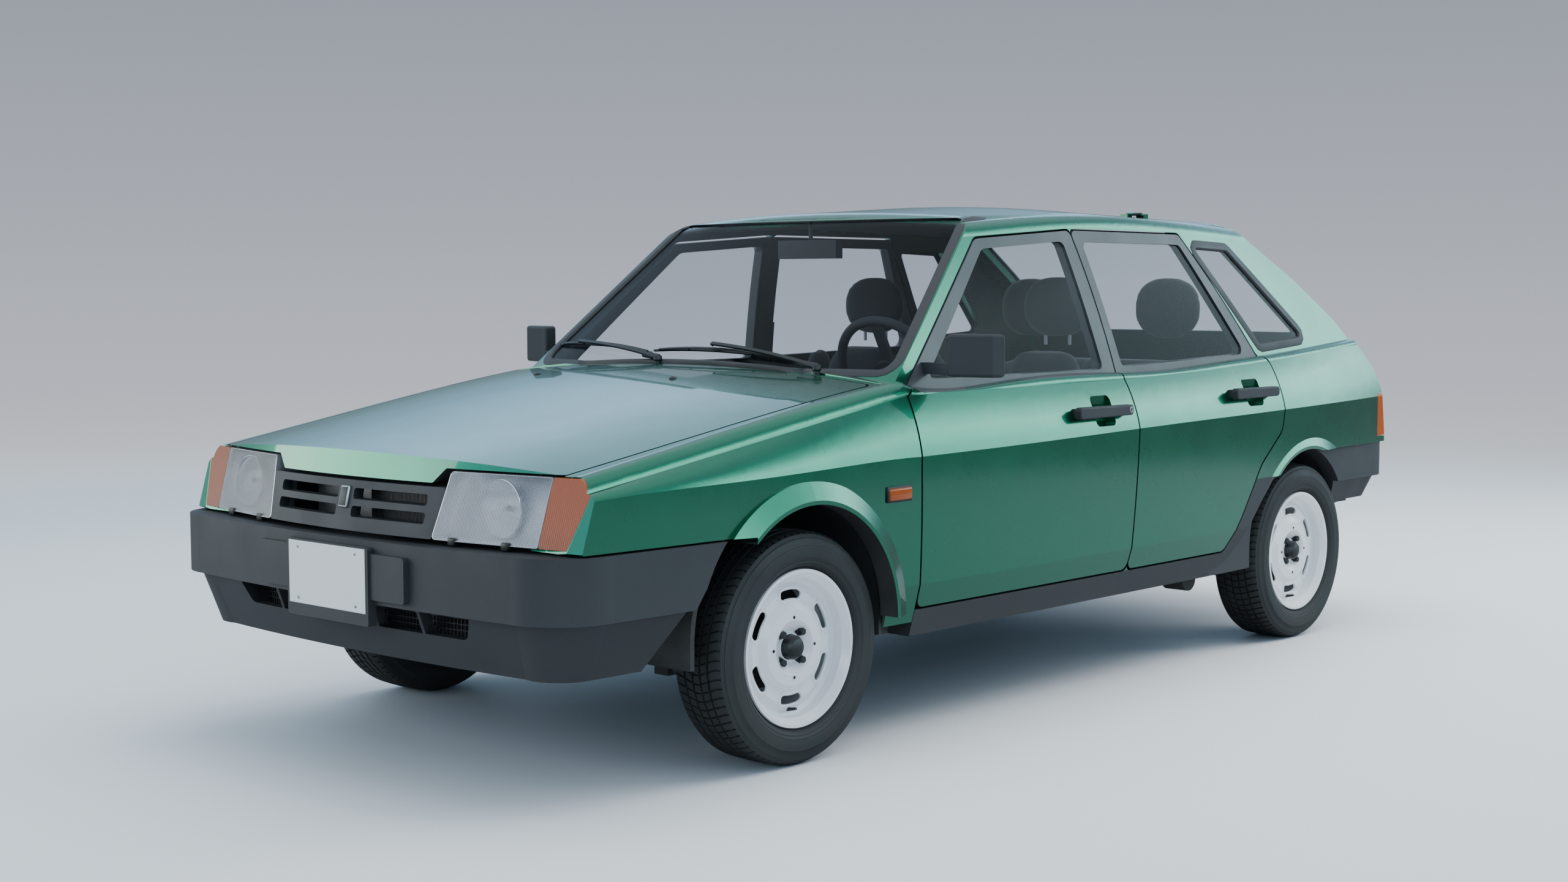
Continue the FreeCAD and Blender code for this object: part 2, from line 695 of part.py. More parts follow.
side_zone = box(0, WIDE, from_front(430) + d.seat_gap, from_rear(900), 200, 1400)
frame = shell.common(side_zone).cut(front_hole).cut(rear_hole).cut(screen_hole).cut(tail_hole)
frame = frame.cut(rear_arch).cut(side_prism(QUARTER_WINDOW, 300, 1000)).cut(tail_lamp_hole)
behind_arch = box(0, WIDE, from_rear(-20), from_rear(900), 0, BUMPER_TOP)
side_cuts = [
    plan_prism(grown(ROOF_PLAN, d.seat_gap), 1250, 1500),
    box(-WIDE, 540, from_front(0), from_rear(-100), 1250, 1500),
    box(-WIDE, 690, -3000, 3000, 0, FLOOR_TOP + 5),
    box(-WIDE, 500, from_front(0), from_front(1400), 0, 1400),
    box(-WIDE, 560, from_rear(0), 3000, 0, 1100),
    behind_arch,
    box(0, WIDE, from_rear(100), from_rear(900), 0, 390),
]
for cut in side_cuts:
    frame = frame.cut(cut)
house_space = arch_space(REAR_ARCH, d.rear_arch_radius + 3 + HOUSE_WALL + d.seat_gap, 400, HOUSE_OUT + d.seat_gap)
frame = frame.cut(house_space).fuse(pillar)
rear_flare = flare(REAR_ARCH, d.rear_arch_radius, 814, 798).cut(box(0, WIDE, from_rear(0), 3000, 0, BUMPER_TOP))
frame = frame.fuse(rear_flare.cut(rear_hole)).removeSplitter()
ARCH_LEAN = [
    (from_rear(-560), 200, 0), (from_rear(-560), 284, 0), (from_rear(-505), 292, 30), (from_rear(-456), 322, 60),
    (from_rear(-240), 552, 60), (from_rear(-150), 560, 0), (from_rear(-150), 200, 0)]
frame = frame.cut(side_prism(ARCH_LEAN, 766, WIDE))
SILL_TOP = 333
BAND_TOP = 553


def sill_zone(gap):
    """The dark band along the sill and up the front edge of the rear wheel arch."""
    return side_prism([
        (from_front(340), 200, 0), (from_rear(-100), 200, 0), (from_rear(-100), BAND_TOP + gap, 0),
        (from_rear(-420), BAND_TOP + gap, 0), (from_rear(-560), SILL_TOP + gap, 0),
        (from_front(340), SILL_TOP + gap, 0)], 600, WIDE)


sill_trim = biggest(frame.common(sill_zone(0)))
JACK_PAD_BOTTOM = d.body_bottom - 6
for y in (from_front(500), from_rear(-640)):
    sill_trim = sill_trim.fuse(box(700, 744, y - 45, y + 45, JACK_PAD_BOTTOM, d.body_bottom + 14))
sill_trim = sill_trim.removeSplitter()
frame = frame.cut(sill_zone(d.seat_gap))
place("side_frames", both_sides(clean(frame, 200000)))
place("sill_trims", both_sides(sill_trim))

# Panel with the air intake between bonnet and windscreen

cowl_zone = box(-690, 690, from_front(353), from_front(500), 850, 1100)
cowl = shell.common(cowl_zone).cut(screen_hole).cut(bonnet_hole)
for neighbour in (front_hole, frame, wing):
    cowl = cowl.cut(neighbour).cut(mirrored(neighbour))
place("cowl", biggest(cowl))

# Bumpers

BUMPER_STEP = 427
FRONT_BUMPER_TOP = 577


def bumper_wire(face_y, side_y, way, inset, z, bow):
    """Plan of a bumper: bowed face, round corners, straight sides; way is -1 at the front."""
    def at(x, back):
        return Vec(x, face_y - way * back, z)
    side = 790 - inset
    face_edge = 620 - inset / 2
    points = [at(side, abs(side_y - face_y)), at(side - 14, 212), at(side - 52, 96 + inset / 2),
              at(face_edge, 44 + inset), at(0, 44 - bow + inset)]
    left = [Vec(-p.x, p.y, p.z) for p in points]
    edges = [
        line(points[0], points[1]),
        arc(points[1], points[2], points[3]),
        arc(points[3], points[4], left[3]),
        arc(left[3], left[2], left[1]),
        line(left[1], left[0]),
        line(left[0], points[0]),
    ]
    return Part.Wire(edges)


def bumper_layer(face_y, side_y, way, low, high):
    """A bumper piece between two plans, each given as (z, inset, bow)."""
    wires = [bumper_wire(face_y, side_y, way, inset, z, bow) for z, inset, bow in (low, high)]
    return Part.makeLoft(wires, True, True)


def bumper_solid(face_y, side_y, inner_side_y, way, layers, hollows):
    """The layers of a bumper fused, less the hollows behind its skin."""
    solid = fused([bumper_layer(face_y, side_y, way, low, high) for low, high in layers])
    for low, high in hollows:
        solid = solid.cut(bumper_layer(face_y, inner_side_y, way, low, high))
    return solid


FRONT_BOW = 29
front_face = from_front(0) - d.front_overhang
bumper = bumper_solid(
    front_face, from_front(-230), from_front(-130), -1,
    [((290, 74, FRONT_BOW), (BUMPER_STEP + 10, 22, FRONT_BOW)),
     ((BUMPER_STEP, 0, FRONT_BOW), (FRONT_BUMPER_TOP, 0, FRONT_BOW))],
    [((280, 100, FRONT_BOW), (450, 50, FRONT_BOW)), ((449, 50, FRONT_BOW), (FRONT_BUMPER_TOP - 20, 50, FRONT_BOW))])
INTAKE_TOP = BUMPER_STEP - 2
INTAKE = [(-430, 366, 22), (430, 366, 22), (462, INTAKE_TOP, 8), (-462, INTAKE_TOP, 8)]
intake = front_prism(INTAKE, front_face - 10, front_face + 220)
for x in (-283, -113, 113, 283):
    intake = intake.cut(box(x - 5, x + 5, front_face - 10, front_face + 220, 300, 500))
bumper = bumper.cut(intake)
pad = front_prism([(-290, 440, 10), (290, 440, 10), (290, 548, 10), (-290, 548, 10)], front_face + 6, front_face + 70)
bracket = front_prism([(-162, 376, 8), (162, 376, 8), (162, 562, 8), (-162, 562, 8)], front_face, front_face + 24)
bumper = fused([bumper, pad, bracket])
arch_clear = arch_space(FRONT_ARCH, d.front_arch_radius + d.arch_flare + 3, 0, 900)
bumper = bumper.cut(arch_clear).cut(mirrored(arch_clear))
bumper = bumper.cut(side_prism([
    (from_front(-510), 240, 0), (from_front(0), 240, 0), (from_front(0), 492, 0), (from_front(-323), 492, 0)],
    -WIDE, WIDE))
bumper = bumper.cut(box(-735, 735, from_front(-700), from_front(0), 555, 600))
bumper = biggest(bumper.removeSplitter())
place("front_bumper", bumper)

REAR_STEP = 502
REAR_TOP = BUMPER_TOP - d.seat_gap
REAR_BOW = 44
rear_face = from_rear(0) + d.rear_overhang
rear_bumper = bumper_solid(
    rear_face, from_rear(60), from_rear(-40), 1,
    [((380, 75, 89), (REAR_STEP + 8, 16, REAR_BOW)), ((REAR_STEP, 0, REAR_BOW), (REAR_TOP, 0, REAR_BOW))],
    [((370, 110, 89), (REAR_STEP + 20, 50, REAR_BOW)), ((REAR_STEP + 19, 50, REAR_BOW), (REAR_TOP - 20, 50, REAR_BOW))])
rear_bumper = rear_bumper.cut(side_prism([
    (from_rear(0), 300, 0), (from_rear(900), 300, 0), (from_rear(900), 425, 0), (from_rear(384), 425, 120),
    (from_rear(199), 391, 0), (from_rear(0), 385, 0)], -WIDE, WIDE))
rear_bumper = rear_bumper.cut(rear_arch).cut(mirrored(rear_arch)).cut(house_space).cut(mirrored(house_space))
rear_bumper = rear_bumper.cut(box(-735, 735, from_rear(0), from_rear(590), 580, 640))
place("rear_bumper", biggest(rear_bumper.removeSplitter()))

PLATE_WIDTH = 305
PLATE_HEIGHT = 152
PLATE_THICK = 2
front_plate_y = front_face - d.seat_gap
rear_plate_y = rear_face + d.seat_gap
front_plate = box(-PLATE_WIDTH / 2, PLATE_WIDTH / 2, front_plate_y - PLATE_THICK, front_plate_y, 406, 558)
rear_plate = box(-PLATE_WIDTH / 2, PLATE_WIDTH / 2, rear_plate_y, rear_plate_y + PLATE_THICK, 430, 582)
place("number_plates", Part.makeCompound([front_plate, rear_plate]))

# Floor, boot floor and wheelhouses

HALF_FLOOR = 690 - d.seat_gap
FLOOR_FRONT = from_front(353) + d.seat_gap
floor = box(-HALF_FLOOR, HALF_FLOOR, FLOOR_FRONT, from_rear(-330), d.body_bottom, 282)
tunnel = box(-120, 120, FLOOR_FRONT, from_rear(-330), d.body_bottom, 390)
tunnel_space = box(-102, 102, BULKHEAD, from_rear(-348), 200, 372)
heel = box(-HALF_FLOOR, HALF_FLOOR, from_rear(-348), from_rear(-330), d.body_bottom + 8, 418)
boot = box(-WHEEL_WALL, WHEEL_WALL, from_rear(-348), from_rear(578), 400, 418)
boot_back = box(-640, 640, from_rear(300), from_rear(578), 400, 418)
back_panel = box(-640, 640, from_rear(560), from_rear(578), 400, 618 - d.seat_gap)


def wheelhouse(centre, radius, x0, x1, thick):
    """Curved roof over a wheel and the upright wall inside it."""
    outside = arch_space(centre, radius + thick, x0 - thick, x1)
    space = arch_space(centre, radius, x0, WIDE)
    return outside.cut(space).cut(box(-WIDE, WIDE, -3000, 3000, 0, d.body_bottom + 12))


rear_house = wheelhouse(REAR_ARCH, d.rear_arch_radius + 3, WHEEL_WALL, HOUSE_OUT, HOUSE_WALL)
floor = fused([floor, tunnel, heel, boot, boot_back, back_panel, rear_house, mirrored(rear_house)])
place("floor_pan", biggest(floor.cut(tunnel_space)))

# Bulkhead, inner wings and front crossmembers

bulkhead = box(-690, 690, BULKHEAD, BULKHEAD + 20, d.body_bottom, 860)
front_house = wheelhouse(FRONT_ARCH, d.front_arch_radius + 22, WHEEL_WALL, 735, 14)
rail = box(425, WHEEL_WALL, from_front(-640), BULKHEAD, 300, 700)
STRUT_TOP = 800
TOWER = Vec(548, from_front(5), 660)
tower = Part.makeCylinder(84, STRUT_TOP - TOWER.z, TOWER)
tower_link = box(430, 548, from_front(-75), from_front(85), 640, STRUT_TOP)
tower_space = Part.makeCylinder(74, 400, TOWER - Z_AXIS * 270)
low_beam = box(-WHEEL_WALL, WHEEL_WALL, from_front(-670), from_front(-610), 300, 390)
high_beam = box(-WHEEL_WALL, WHEEL_WALL, from_front(-660), from_front(-600), 684, 704)
bumper_arm = biggest(box(425, WHEEL_WALL, from_front(-790), from_front(-630), 470, 520).cut(bumper))
engine_mount = box(d.engine_width / 2 + d.seat_gap, WHEEL_WALL, from_front(-260), from_front(-200), 420, 460)
bonnet_stop = Part.makeCylinder(8, 120, Vec(380, from_front(-612), 690))
under_bonnet = d.panel_wall + d.seat_gap
bonnet_stop = bonnet_stop.common(lower_form(under_bonnet, under_bonnet, 100)).common(profile_form(under_bonnet))
structure = fused([bulkhead, front_house, rail, tower, tower_link, mirrored(front_house), mirrored(rail),
                   mirrored(tower), mirrored(tower_link), low_beam, high_beam, engine_mount, mirrored(engine_mount),
                   bonnet_stop, mirrored(bonnet_stop), bumper_arm, mirrored(bumper_arm)])
structure = structure.cut(tower_space).cut(mirrored(tower_space))
structure = structure.cut(box(-WIDE, WIDE, BULKHEAD + d.panel_wall - d.seat_gap, 0, 0, 2000))
place("front_structure", biggest(structure))

# Parametric blocks inside the bonnet and under the floor


def bound_box(label, sizes, position):
    """A box whose three sizes are expressions on the sheet."""
    block = doc.addObject("Part::Box", label)
    block.Label = label
    for name, expression in zip(("Length", "Width", "Height"), sizes):
        block.setExpression(name, expression)
    block.Placement = FreeCAD.Placement(position, FreeCAD.Rotation())
    return block


engine = bound_box("engine", ("sizes.engine_width", "sizes.engine_depth", "sizes.engine_tall"),
                   Vec(-d.engine_width / 2, from_front(-430), 315))
radiator = bound_box("radiator", ("sizes.radiator_width", "sizes.radiator_thick", "sizes.radiator_tall"),
                     Vec(-d.radiator_width / 2, from_front(-668), 390 + d.seat_gap))
fuel_tank = bound_box("fuel_tank", ("sizes.tank_width", "sizes.tank_depth", "sizes.tank_tall"),
                      Vec(-120, from_rear(-326), 400 - d.seat_gap - d.tank_tall))

# Exhaust pipe with its silencer, along the right of the tunnel


def pipe(points, radius, bend):
    """A round pipe along straight runs joined by tangent arcs."""
    edges = []
    start = points[0]
    for before, corner, after in zip(points, points[1:], points[2:]):
        back = (before - corner).normalize()
        ahead = (after - corner).normalize()
        half = back.getAngle(ahead) / 2
        reach = bend / math.tan(half)
        centre_way = (back + ahead).normalize()
        centre = corner + centre_way * (bend / math.sin(half))
        edges.append(line(start, corner + back * reach))
        edges.append(arc(corner + back * reach, centre - centre_way * bend, corner + ahead * reach))
        start = corner + ahead * reach
    edges.append(line(start, points[-1]))
    path = Part.Wire(edges)
    ring = Part.Wire(Part.makeCircle(radius, points[0], points[1] - points[0]))
    return path.makePipeShell([ring], True, False)


exhaust_route = [
    Vec(-60, from_front(215), 236), Vec(-60, from_rear(-900), 236), Vec(-270, from_rear(-520), 236),
    Vec(-300, from_rear(-330), 236), Vec(-310, from_rear(-160), 332), Vec(-350, from_rear(250), 332)]
front_pipe = pipe(exhaust_route, 21, 130)
silencer = rod(Vec(-350, from_rear(240), 336), Vec(-350, from_rear(520), 336), 62)
tail_pipe = rod(Vec(-350, from_rear(510), 315), Vec(-350, from_rear(690), 315), 18)
place("exhaust", fused([front_pipe, silencer, tail_pipe]))

# Wheels: turned rim with vent slots, and tyre

HUB_Z = d.wheel_radius
RIM_OUTLINE = [
    (76, 186), (76, 194), (70, 195), (66, 183), (58, 178), (34, 178), (20, 160), (-22, 160), (-34, 178),
    (-62, 178), (-69, 186), (-70, 195), (-76, 194), (-76, 182), (-66, 172), (-36, 172), (-24, 154), (12, 154),
    (26, 150), (38, 136), (36, 112), (48, 92), (50, 70), (38, 52), (26, 44), (26, 30), (34, 30), (34, 40),
    (42, 48), (55, 68), (53, 94), (41, 114), (43, 138), (32, 158), (36, 171), (60, 172), (70, 180)]
SLOT_COUNT = 6
SLOT_HALF_ANGLE = 0.2


def sketch_on(body, plane, name):
    """An empty sketch on one of the origin planes of a body."""
    sketch = body.newObject("Sketcher::SketchObject", name)
    flat = [item for item in body.Origin.OriginFeatures if item.Role == plane][0]
    sketch.AttachmentSupport = [(flat, "")]
    sketch.MapMode = "FlatFace"
    return sketch


def add_polygon(sketch, points):
    corners = [Vec(u, v, 0) for u, v in points]
    for start, end in zip(corners, corners[1:] + corners[:1]):
        sketch.addGeometry(Part.LineSegment(start, end))


def rim_body(label, placement):
    """A pressed steel wheel: turned section about its axle, then a ring of slots."""
    body = doc.addObject("PartDesign::Body", label)
    body.Label = label
    section = sketch_on(body, "XZ_Plane", label + "_section")
    add_polygon(section, RIM_OUTLINE)
    turned = body.newObject("PartDesign::Revolution", label + "_turned")
    turned.Profile = section
    turned.ReferenceAxis = (section, ["H_Axis"])
    turned.Angle = 360
    doc.recompute()
    slot = sketch_on(body, "YZ_Plane", label + "_slot")
    for radius in (d.slot_inner, d.slot_outer):
        circle = Part.Circle(Vec(), Z_AXIS, radius)
        slot.addGeometry(Part.ArcOfCircle(circle, math.pi / 2 - SLOT_HALF_ANGLE, math.pi / 2 + SLOT_HALF_ANGLE))
    middle = (d.slot_inner + d.slot_outer) / 2
    half = (d.slot_outer - d.slot_inner) / 2
    for sense in (-1, 1):
        angle = math.pi / 2 + sense * SLOT_HALF_ANGLE
        centre = Vec(middle * math.cos(angle), middle * math.sin(angle), 0)
        circle = Part.Circle(centre, Z_AXIS, half)
        start, end = (angle, angle + math.pi) if sense > 0 else (angle - math.pi, angle)
        slot.addGeometry(Part.ArcOfCircle(circle, start, end))
    pocket = body.newObject("PartDesign::Pocket", label + "_vent")
    pocket.Profile = slot
    pocket.Type = 1
    pocket.Midplane = True
    doc.recompute()
    ring = body.newObject("PartDesign::PolarPattern", label + "_vents")
    ring.Originals = [pocket]
    ring.Axis = (slot, ["N_Axis"])
    ring.Angle = 360
    ring.Occurrences = SLOT_COUNT
    body.Tip = ring
    doc.recompute()
    body.Placement = placement
    return body


def tyre_shape():
    """Turned section of a tyre, about the X axis through the origin."""
    half = d.tyre_width / 2
    tread = 64
    bead = d.rim_radius + d.seat_gap
    flank_low = Vec(half - 9, 0, 204)
    flank_high = Vec(half - 6, 0, 264)
    heel = Vec(64.5, 0, 184.5)
    flange_top = Vec(69, 0, 198)
    right = [
        line(Vec(56, 0, bead), heel),
        line(heel, flange_top),
        line(flange_top, flank_low),
        arc(flank_low, Vec(half, 0, 236), flank_high),
        arc(flank_high, Vec(half - 14, 0, d.wheel_radius - 8), Vec(tread, 0, d.wheel_radius - 2)),
    ]
    left = [edge.mirror(Vec(), X_AXIS) for edge in reversed(right)]
    tread_arc = arc(Vec(tread, 0, d.wheel_radius - 2), Vec(0, 0, d.wheel_radius), Vec(-tread, 0, d.wheel_radius - 2))
    inside = line(Vec(-56, 0, bead), Vec(56, 0, bead))
    section = Part.Face(Part.Wire(right + [tread_arc] + left + [inside]))
    ring = section.revolve(Vec(), X_AXIS, 360)
    well = Part.makeCylinder(bead, 200, Vec(-100, 0, 0), X_AXIS)
    return ring.cut(well)


tyre = tyre_shape()
for end, axle in (("front", FRONT_AXLE), ("rear", REAR_AXLE)):
    for side, sense in (("left", 1), ("right", -1)):
        turn = FreeCAD.Rotation(Z_AXIS, 0 if sense > 0 else 180)
        spot = FreeCAD.Placement(Vec(sense * d.wheel_plane, axle, HUB_Z), turn)
        rim_body(f"rim_{end}_{side}", spot)
        place(f"tyre_{end}_{side}", tyre, spot)

# Front knuckles with their struts, turning about a leaning line

KINGPIN_X = 622
KINGPIN_LEAN = 0.19


def kingpin_at(z):
    """The point of the left steering line at a height."""
    return Vec(KINGPIN_X - (z - HUB_Z) * KINGPIN_LEAN, FRONT_AXLE, z)


hub_face = d.wheel_plane + 26 - d.seat_gap
knuckle = fused([
    rod(kingpin_at(200), kingpin_at(400), 22),
    rod(kingpin_at(HUB_Z), Vec(hub_face - 22, FRONT_AXLE, HUB_Z), 38),
    Part.makeCylinder(84, 4, Vec(hub_face - 62, FRONT_AXLE, HUB_Z), X_AXIS),
    Part.makeCylinder(60, 22, Vec(hub_face - 22, FRONT_AXLE, HUB_Z), X_AXIS),
    Part.makeCylinder(29, 10, Vec(hub_face - 1, FRONT_AXLE, HUB_Z), X_AXIS),
    rod(kingpin_at(390), kingpin_at(600), 26),
    rod(kingpin_at(592), kingpin_at(600), 64),
    rod(kingpin_at(600), kingpin_at(770), 52),
])
place("knuckle_left", knuckle)
place("knuckle_right", mirrored(knuckle))

# Lower arms and the beam that carries them

ball = kingpin_at(200 - d.seat_gap)
arm_plate = plan_prism([
    (330, FRONT_AXLE - 28, 0), (ball.x + 8, FRONT_AXLE - 24, 12), (ball.x + 8, FRONT_AXLE + 24, 12),
    (520, FRONT_AXLE + 40, 30), (400, FRONT_AXLE + 190, 20), (330, FRONT_AXLE + 190, 0)], 176, 192)
ball_joint = rod(kingpin_at(184), ball, 20)
sub_beam = box(-350, 350, FRONT_AXLE - 40, FRONT_AXLE + 200, 172, 222)
sub_beam = sub_beam.cut(box(-300, 300, FRONT_AXLE - 41, FRONT_AXLE + 201, 172, 196))
beam_foot = box(300, 350, FRONT_AXLE + 100, FRONT_AXLE + 330, 200, d.body_bottom + 30)
arms = fused([sub_beam, arm_plate, ball_joint, beam_foot, mirrored(arm_plate), mirrored(ball_joint),
              mirrored(beam_foot)])
place("front_arms", biggest(arms))

# Rear axle: trailing arms, cross beam, drums and stub axles

PIVOT_Z = d.body_bottom - d.seat_gap - 40
trailing = rod(Vec(560, from_rear(-400), PIVOT_Z), Vec(600, from_rear(0), HUB_Z), 26)
pivot_bush = rod(Vec(520, from_rear(-400), PIVOT_Z), Vec(600, from_rear(-400), PIVOT_Z), 40)
cross_beam = box(-570, 570, from_rear(-180), from_rear(-120), 205, 262)
cross_beam = cross_beam.cut(box(-540, 540, from_rear(-172), from_rear(-128), 195, 252))
drum_out = d.wheel_plane + 26 - d.seat_gap
drum = Part.makeCylinder(108, 56, Vec(drum_out - 60, REAR_AXLE, HUB_Z), X_AXIS)
drum_hub = Part.makeCylinder(56, 8, Vec(drum_out - 8, REAR_AXLE, HUB_Z), X_AXIS)
stub = Part.makeCylinder(29, 110, Vec(drum_out - 100, REAR_AXLE, HUB_Z), X_AXIS)
damper_eye = rod(Vec(560, from_rear(60), 250), Vec(640, from_rear(60), 250), 18)
arm_tail = rod(Vec(600, from_rear(0), HUB_Z), Vec(600, from_rear(60), 250), 22)
half_axle = [trailing, pivot_bush, drum, drum_hub, stub, arm_tail, damper_eye]
rear_axle = fused([cross_beam] + half_axle + [mirrored(piece) for piece in half_axle])
place("rear_axle", biggest(rear_axle))

# Seats, as plain closed cushions with head restraints

def cushion(outline, x0, x1, rounding):
    block = side_prism(outline, x0, x1)
    edges = [edge for edge in block.Edges if edge.BoundBox.XLength < 1]
    return block.makeFillet(rounding, edges)


SEAT_HALF = 245
SEAT_X = 370
seat_base = cushion([
    (from_front(905), 330, 60), (from_front(1400), 300, 30), (from_front(1420), 440, 40),
    (from_front(920), 520, 60)], SEAT_X - SEAT_HALF, SEAT_X + SEAT_HALF, 28)
seat_back = cushion([
    (from_front(1385), 430, 30), (from_front(1530), 400, 50), (from_front(1680), 1000, 50),
    (from_front(1560), 1010, 50)], SEAT_X - SEAT_HALF + 10, SEAT_X + SEAT_HALF - 10, 28)
head_rest = cushion([
    (from_front(1580), 1030, 30), (from_front(1668), 1030, 30), (from_front(1700), 1195, 35),
    (from_front(1615), 1195, 35)], SEAT_X - 130, SEAT_X + 130, 28)
head_posts = [rod(Vec(SEAT_X + side * 60, from_front(1618), 960), Vec(SEAT_X + side * 60, from_front(1634), 1060), 6)
              for side in (-1, 1)]
seat_feet = box(SEAT_X - 190, SEAT_X + 190, from_front(960), from_front(1360), 282 + d.seat_gap, 340)
seat = fused([seat_base, seat_back, head_rest, seat_feet] + head_posts)
place("front_seats", both_sides(biggest(seat)))

REAR_SEAT_HALF = 560
rear_cushion = side_prism([
    (from_rear(-560), 300, 30), (from_rear(-352), 300, 20), (from_rear(-352), 418.3, 0), (from_rear(-120), 418.3, 20),
    (from_rear(-100), 480, 20), (from_rear(-560), 510, 60)], -REAR_SEAT_HALF, REAR_SEAT_HALF)
rear_back = side_prism([
    (from_rear(-180), 480, 30), (from_rear(-60), 480, 20), (from_rear(80), 940, 40), (from_rear(-30), 950, 50)],
    -REAR_SEAT_HALF, REAR_SEAT_HALF)
seat_space = arch_space(REAR_ARCH, d.rear_arch_radius + 3 + HOUSE_WALL + 4, WHEEL_WALL - HOUSE_WALL - 4, 900)
rear_seat = fused([rear_cushion, rear_back]).cut(seat_space).cut(mirrored(seat_space))
over_tunnel = 120 + d.seat_gap
rear_seat = rear_seat.cut(box(-over_tunnel, over_tunnel, 0, from_rear(-200), 0, 390 + d.seat_gap))
place("rear_seat", biggest(rear_seat))

# Dashboard and steering wheel

dashboard = side_prism([
    (from_front(360), 690, 20), (from_front(560), 620, 60), (from_front(690), 690, 40), (from_front(720), 860, 50),
    (from_front(640), 930, 60), (from_front(430), 896, 20), (from_front(360), 850, 20)], -628, 628)
column_line = Vec(0, -math.cos(0.5), -math.sin(0.5))
WHEEL_CENTRE = Vec(d.steering_side, from_front(850), 905)
column_end = WHEEL_CENTRE + column_line * 62
shroud = rod(column_end, WHEEL_CENTRE + column_line * 190, 34)
foot_y = BULKHEAD + d.panel_wall
feet = [box(x - 40, x + 40, foot_y, foot_y + 24, 730, 830) for x in (-220, 220)]
place("dashboard", biggest(fused([dashboard, shroud] + feet)))

ring = Part.makeTorus(d.steering_radius, d.steering_grip)
hub = Part.makeCylinder(62, 34, Vec(0, 0, -24))
stalk = Part.makeCylinder(20, 62 - d.seat_gap, Vec(0, 0, -62 + d.seat_gap))
spokes = []
for angle in (0, math.pi, -math.pi / 2):
    tip = Vec(math.cos(angle) * d.steering_radius, math.sin(angle) * d.steering_radius, 0)
    spoke = box(0, d.steering_radius, -17, 17, -8, 4)
    spoke.rotate(Vec(), Z_AXIS, math.degrees(angle))
    spokes.append(spoke)
steering = fused([ring, hub, stalk] + spokes)
turn = FreeCAD.Rotation(X_AXIS, Vec(), -column_line, "ZXY")
place("steering_wheel", biggest(steering), FreeCAD.Placement(WHEEL_CENTRE, turn))

# Wipers, mirrors and door handles

def wiper(pivot, tip):
    """An arm with its blade, lying above the foot of the windscreen."""
    stem = rod(pivot - Z_AXIS * 60, pivot + Z_AXIS * 8, 10).cut(cowl)
    return biggest(fused([max(stem.Solids, key=lambda piece: piece.BoundBox.ZMax), rod(pivot, tip, 5)]))


place("wipers", Part.makeCompound([
    wiper(Vec(500, from_front(366), 954), Vec(18, from_front(445), 1022)),
    wiper(Vec(-100, from_front(366), 972), Vec(-600, from_front(505), 1018))]))

mirror_stem = rod(Vec(0, from_front(900), 1400), Vec(0, from_front(905), 1290), 6).cut(roof)
mirror_stem = min(mirror_stem.Solids, key=lambda piece: piece.BoundBox.ZMin)
mirror_box = box(-115, 115, from_front(885), from_front(915), 1245, 1300)
place("interior_mirror", fused([mirror_stem, mirror_box]))

MIRROR_PLAN = [(788, from_front(545), 8), (915, from_front(580), 10), (936, from_front(616), 6),
               (788, from_front(592), 8)]
mirror_head = plan_prism(MIRROR_PLAN, 930, 1042)
mirror_head = mirror_head.makeFillet(9, [edge for edge in mirror_head.Edges if edge.BoundBox.ZLength < 1])
mirror_foot = box(690, 800, from_front(550), from_front(572), 936, 966)


def handle(cup, length):
    """A rounded bar handle across its hollow, on two feet; cup is the middle of the hollow."""
    y, z = cup
    middle = y - 26
    outline = [(middle - length / 2, z - 17, 12), (middle + length / 2, z - 15, 10),
               (middle + length / 2, z + 15, 10), (middle - length / 2, z + 17, 12)]
    bar = side_prism(outline, 806, 828)
    bar = bar.makeFillet(5, [edge for edge in bar.Edges if edge.BoundBox.XLength < 1 and edge.BoundBox.XMax > 820])
    feet = [box(770, 808, middle + sign * (length / 2 - 24) - 12, middle + sign * (length / 2 - 24) + 12,
                z - 12, z + 12) for sign in (-1, 1)]
    return fused([bar] + feet)


front_handle = handle(FRONT_CUP, 268).cut(front_door)
rear_handle = handle(REAR_CUP, 260).cut(rear_door)
mirror = fused([mirror_head, mirror_foot]).cut(front_door).cut(wing)
trim_left = Part.makeCompound([biggest(mirror), biggest(front_handle)])
place("door_trim_front_left", trim_left)
place("door_trim_front_right", mirrored(trim_left))
place("door_trim_rear_left", biggest(rear_handle))
place("door_trim_rear_right", mirrored(biggest(rear_handle)))

# Checks of every object, then one file for each sub-part

doc.recompute()
failed = [obj.Name for obj in doc.Objects if "Invalid" in obj.State or "Error" in obj.State]
if failed:
    raise RuntimeError(f"failed objects: {failed}")
KINDS = ("Part::Feature", "Part::Box", "PartDesign::Body")
sub_parts = [obj for obj in doc.Objects if obj.TypeId in KINDS]
for sub_part in sub_parts:
    if sub_part.Shape.isNull() or not sub_part.Shape.isValid():
        raise RuntimeError(f"bad shape: {sub_part.Label}")
os.makedirs("parts", exist_ok=True)
for sub_part in sub_parts:
    sub_part.Shape.exportStep(f"parts/{sub_part.Label}.step")
    print(sub_part.Label, len(sub_part.Shape.Solids), round(sub_part.Shape.Volume / 1e6, 2))
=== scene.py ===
"""Studio scene of a small green hatchback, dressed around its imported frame."""

import json
import logging
import math
from dataclasses import dataclass, field
from enum import Enum
from typing import Callable, Sequence

import bmesh
import bpy
from mathutils import Matrix, Vector
from mathutils.bvhtree import BVHTree


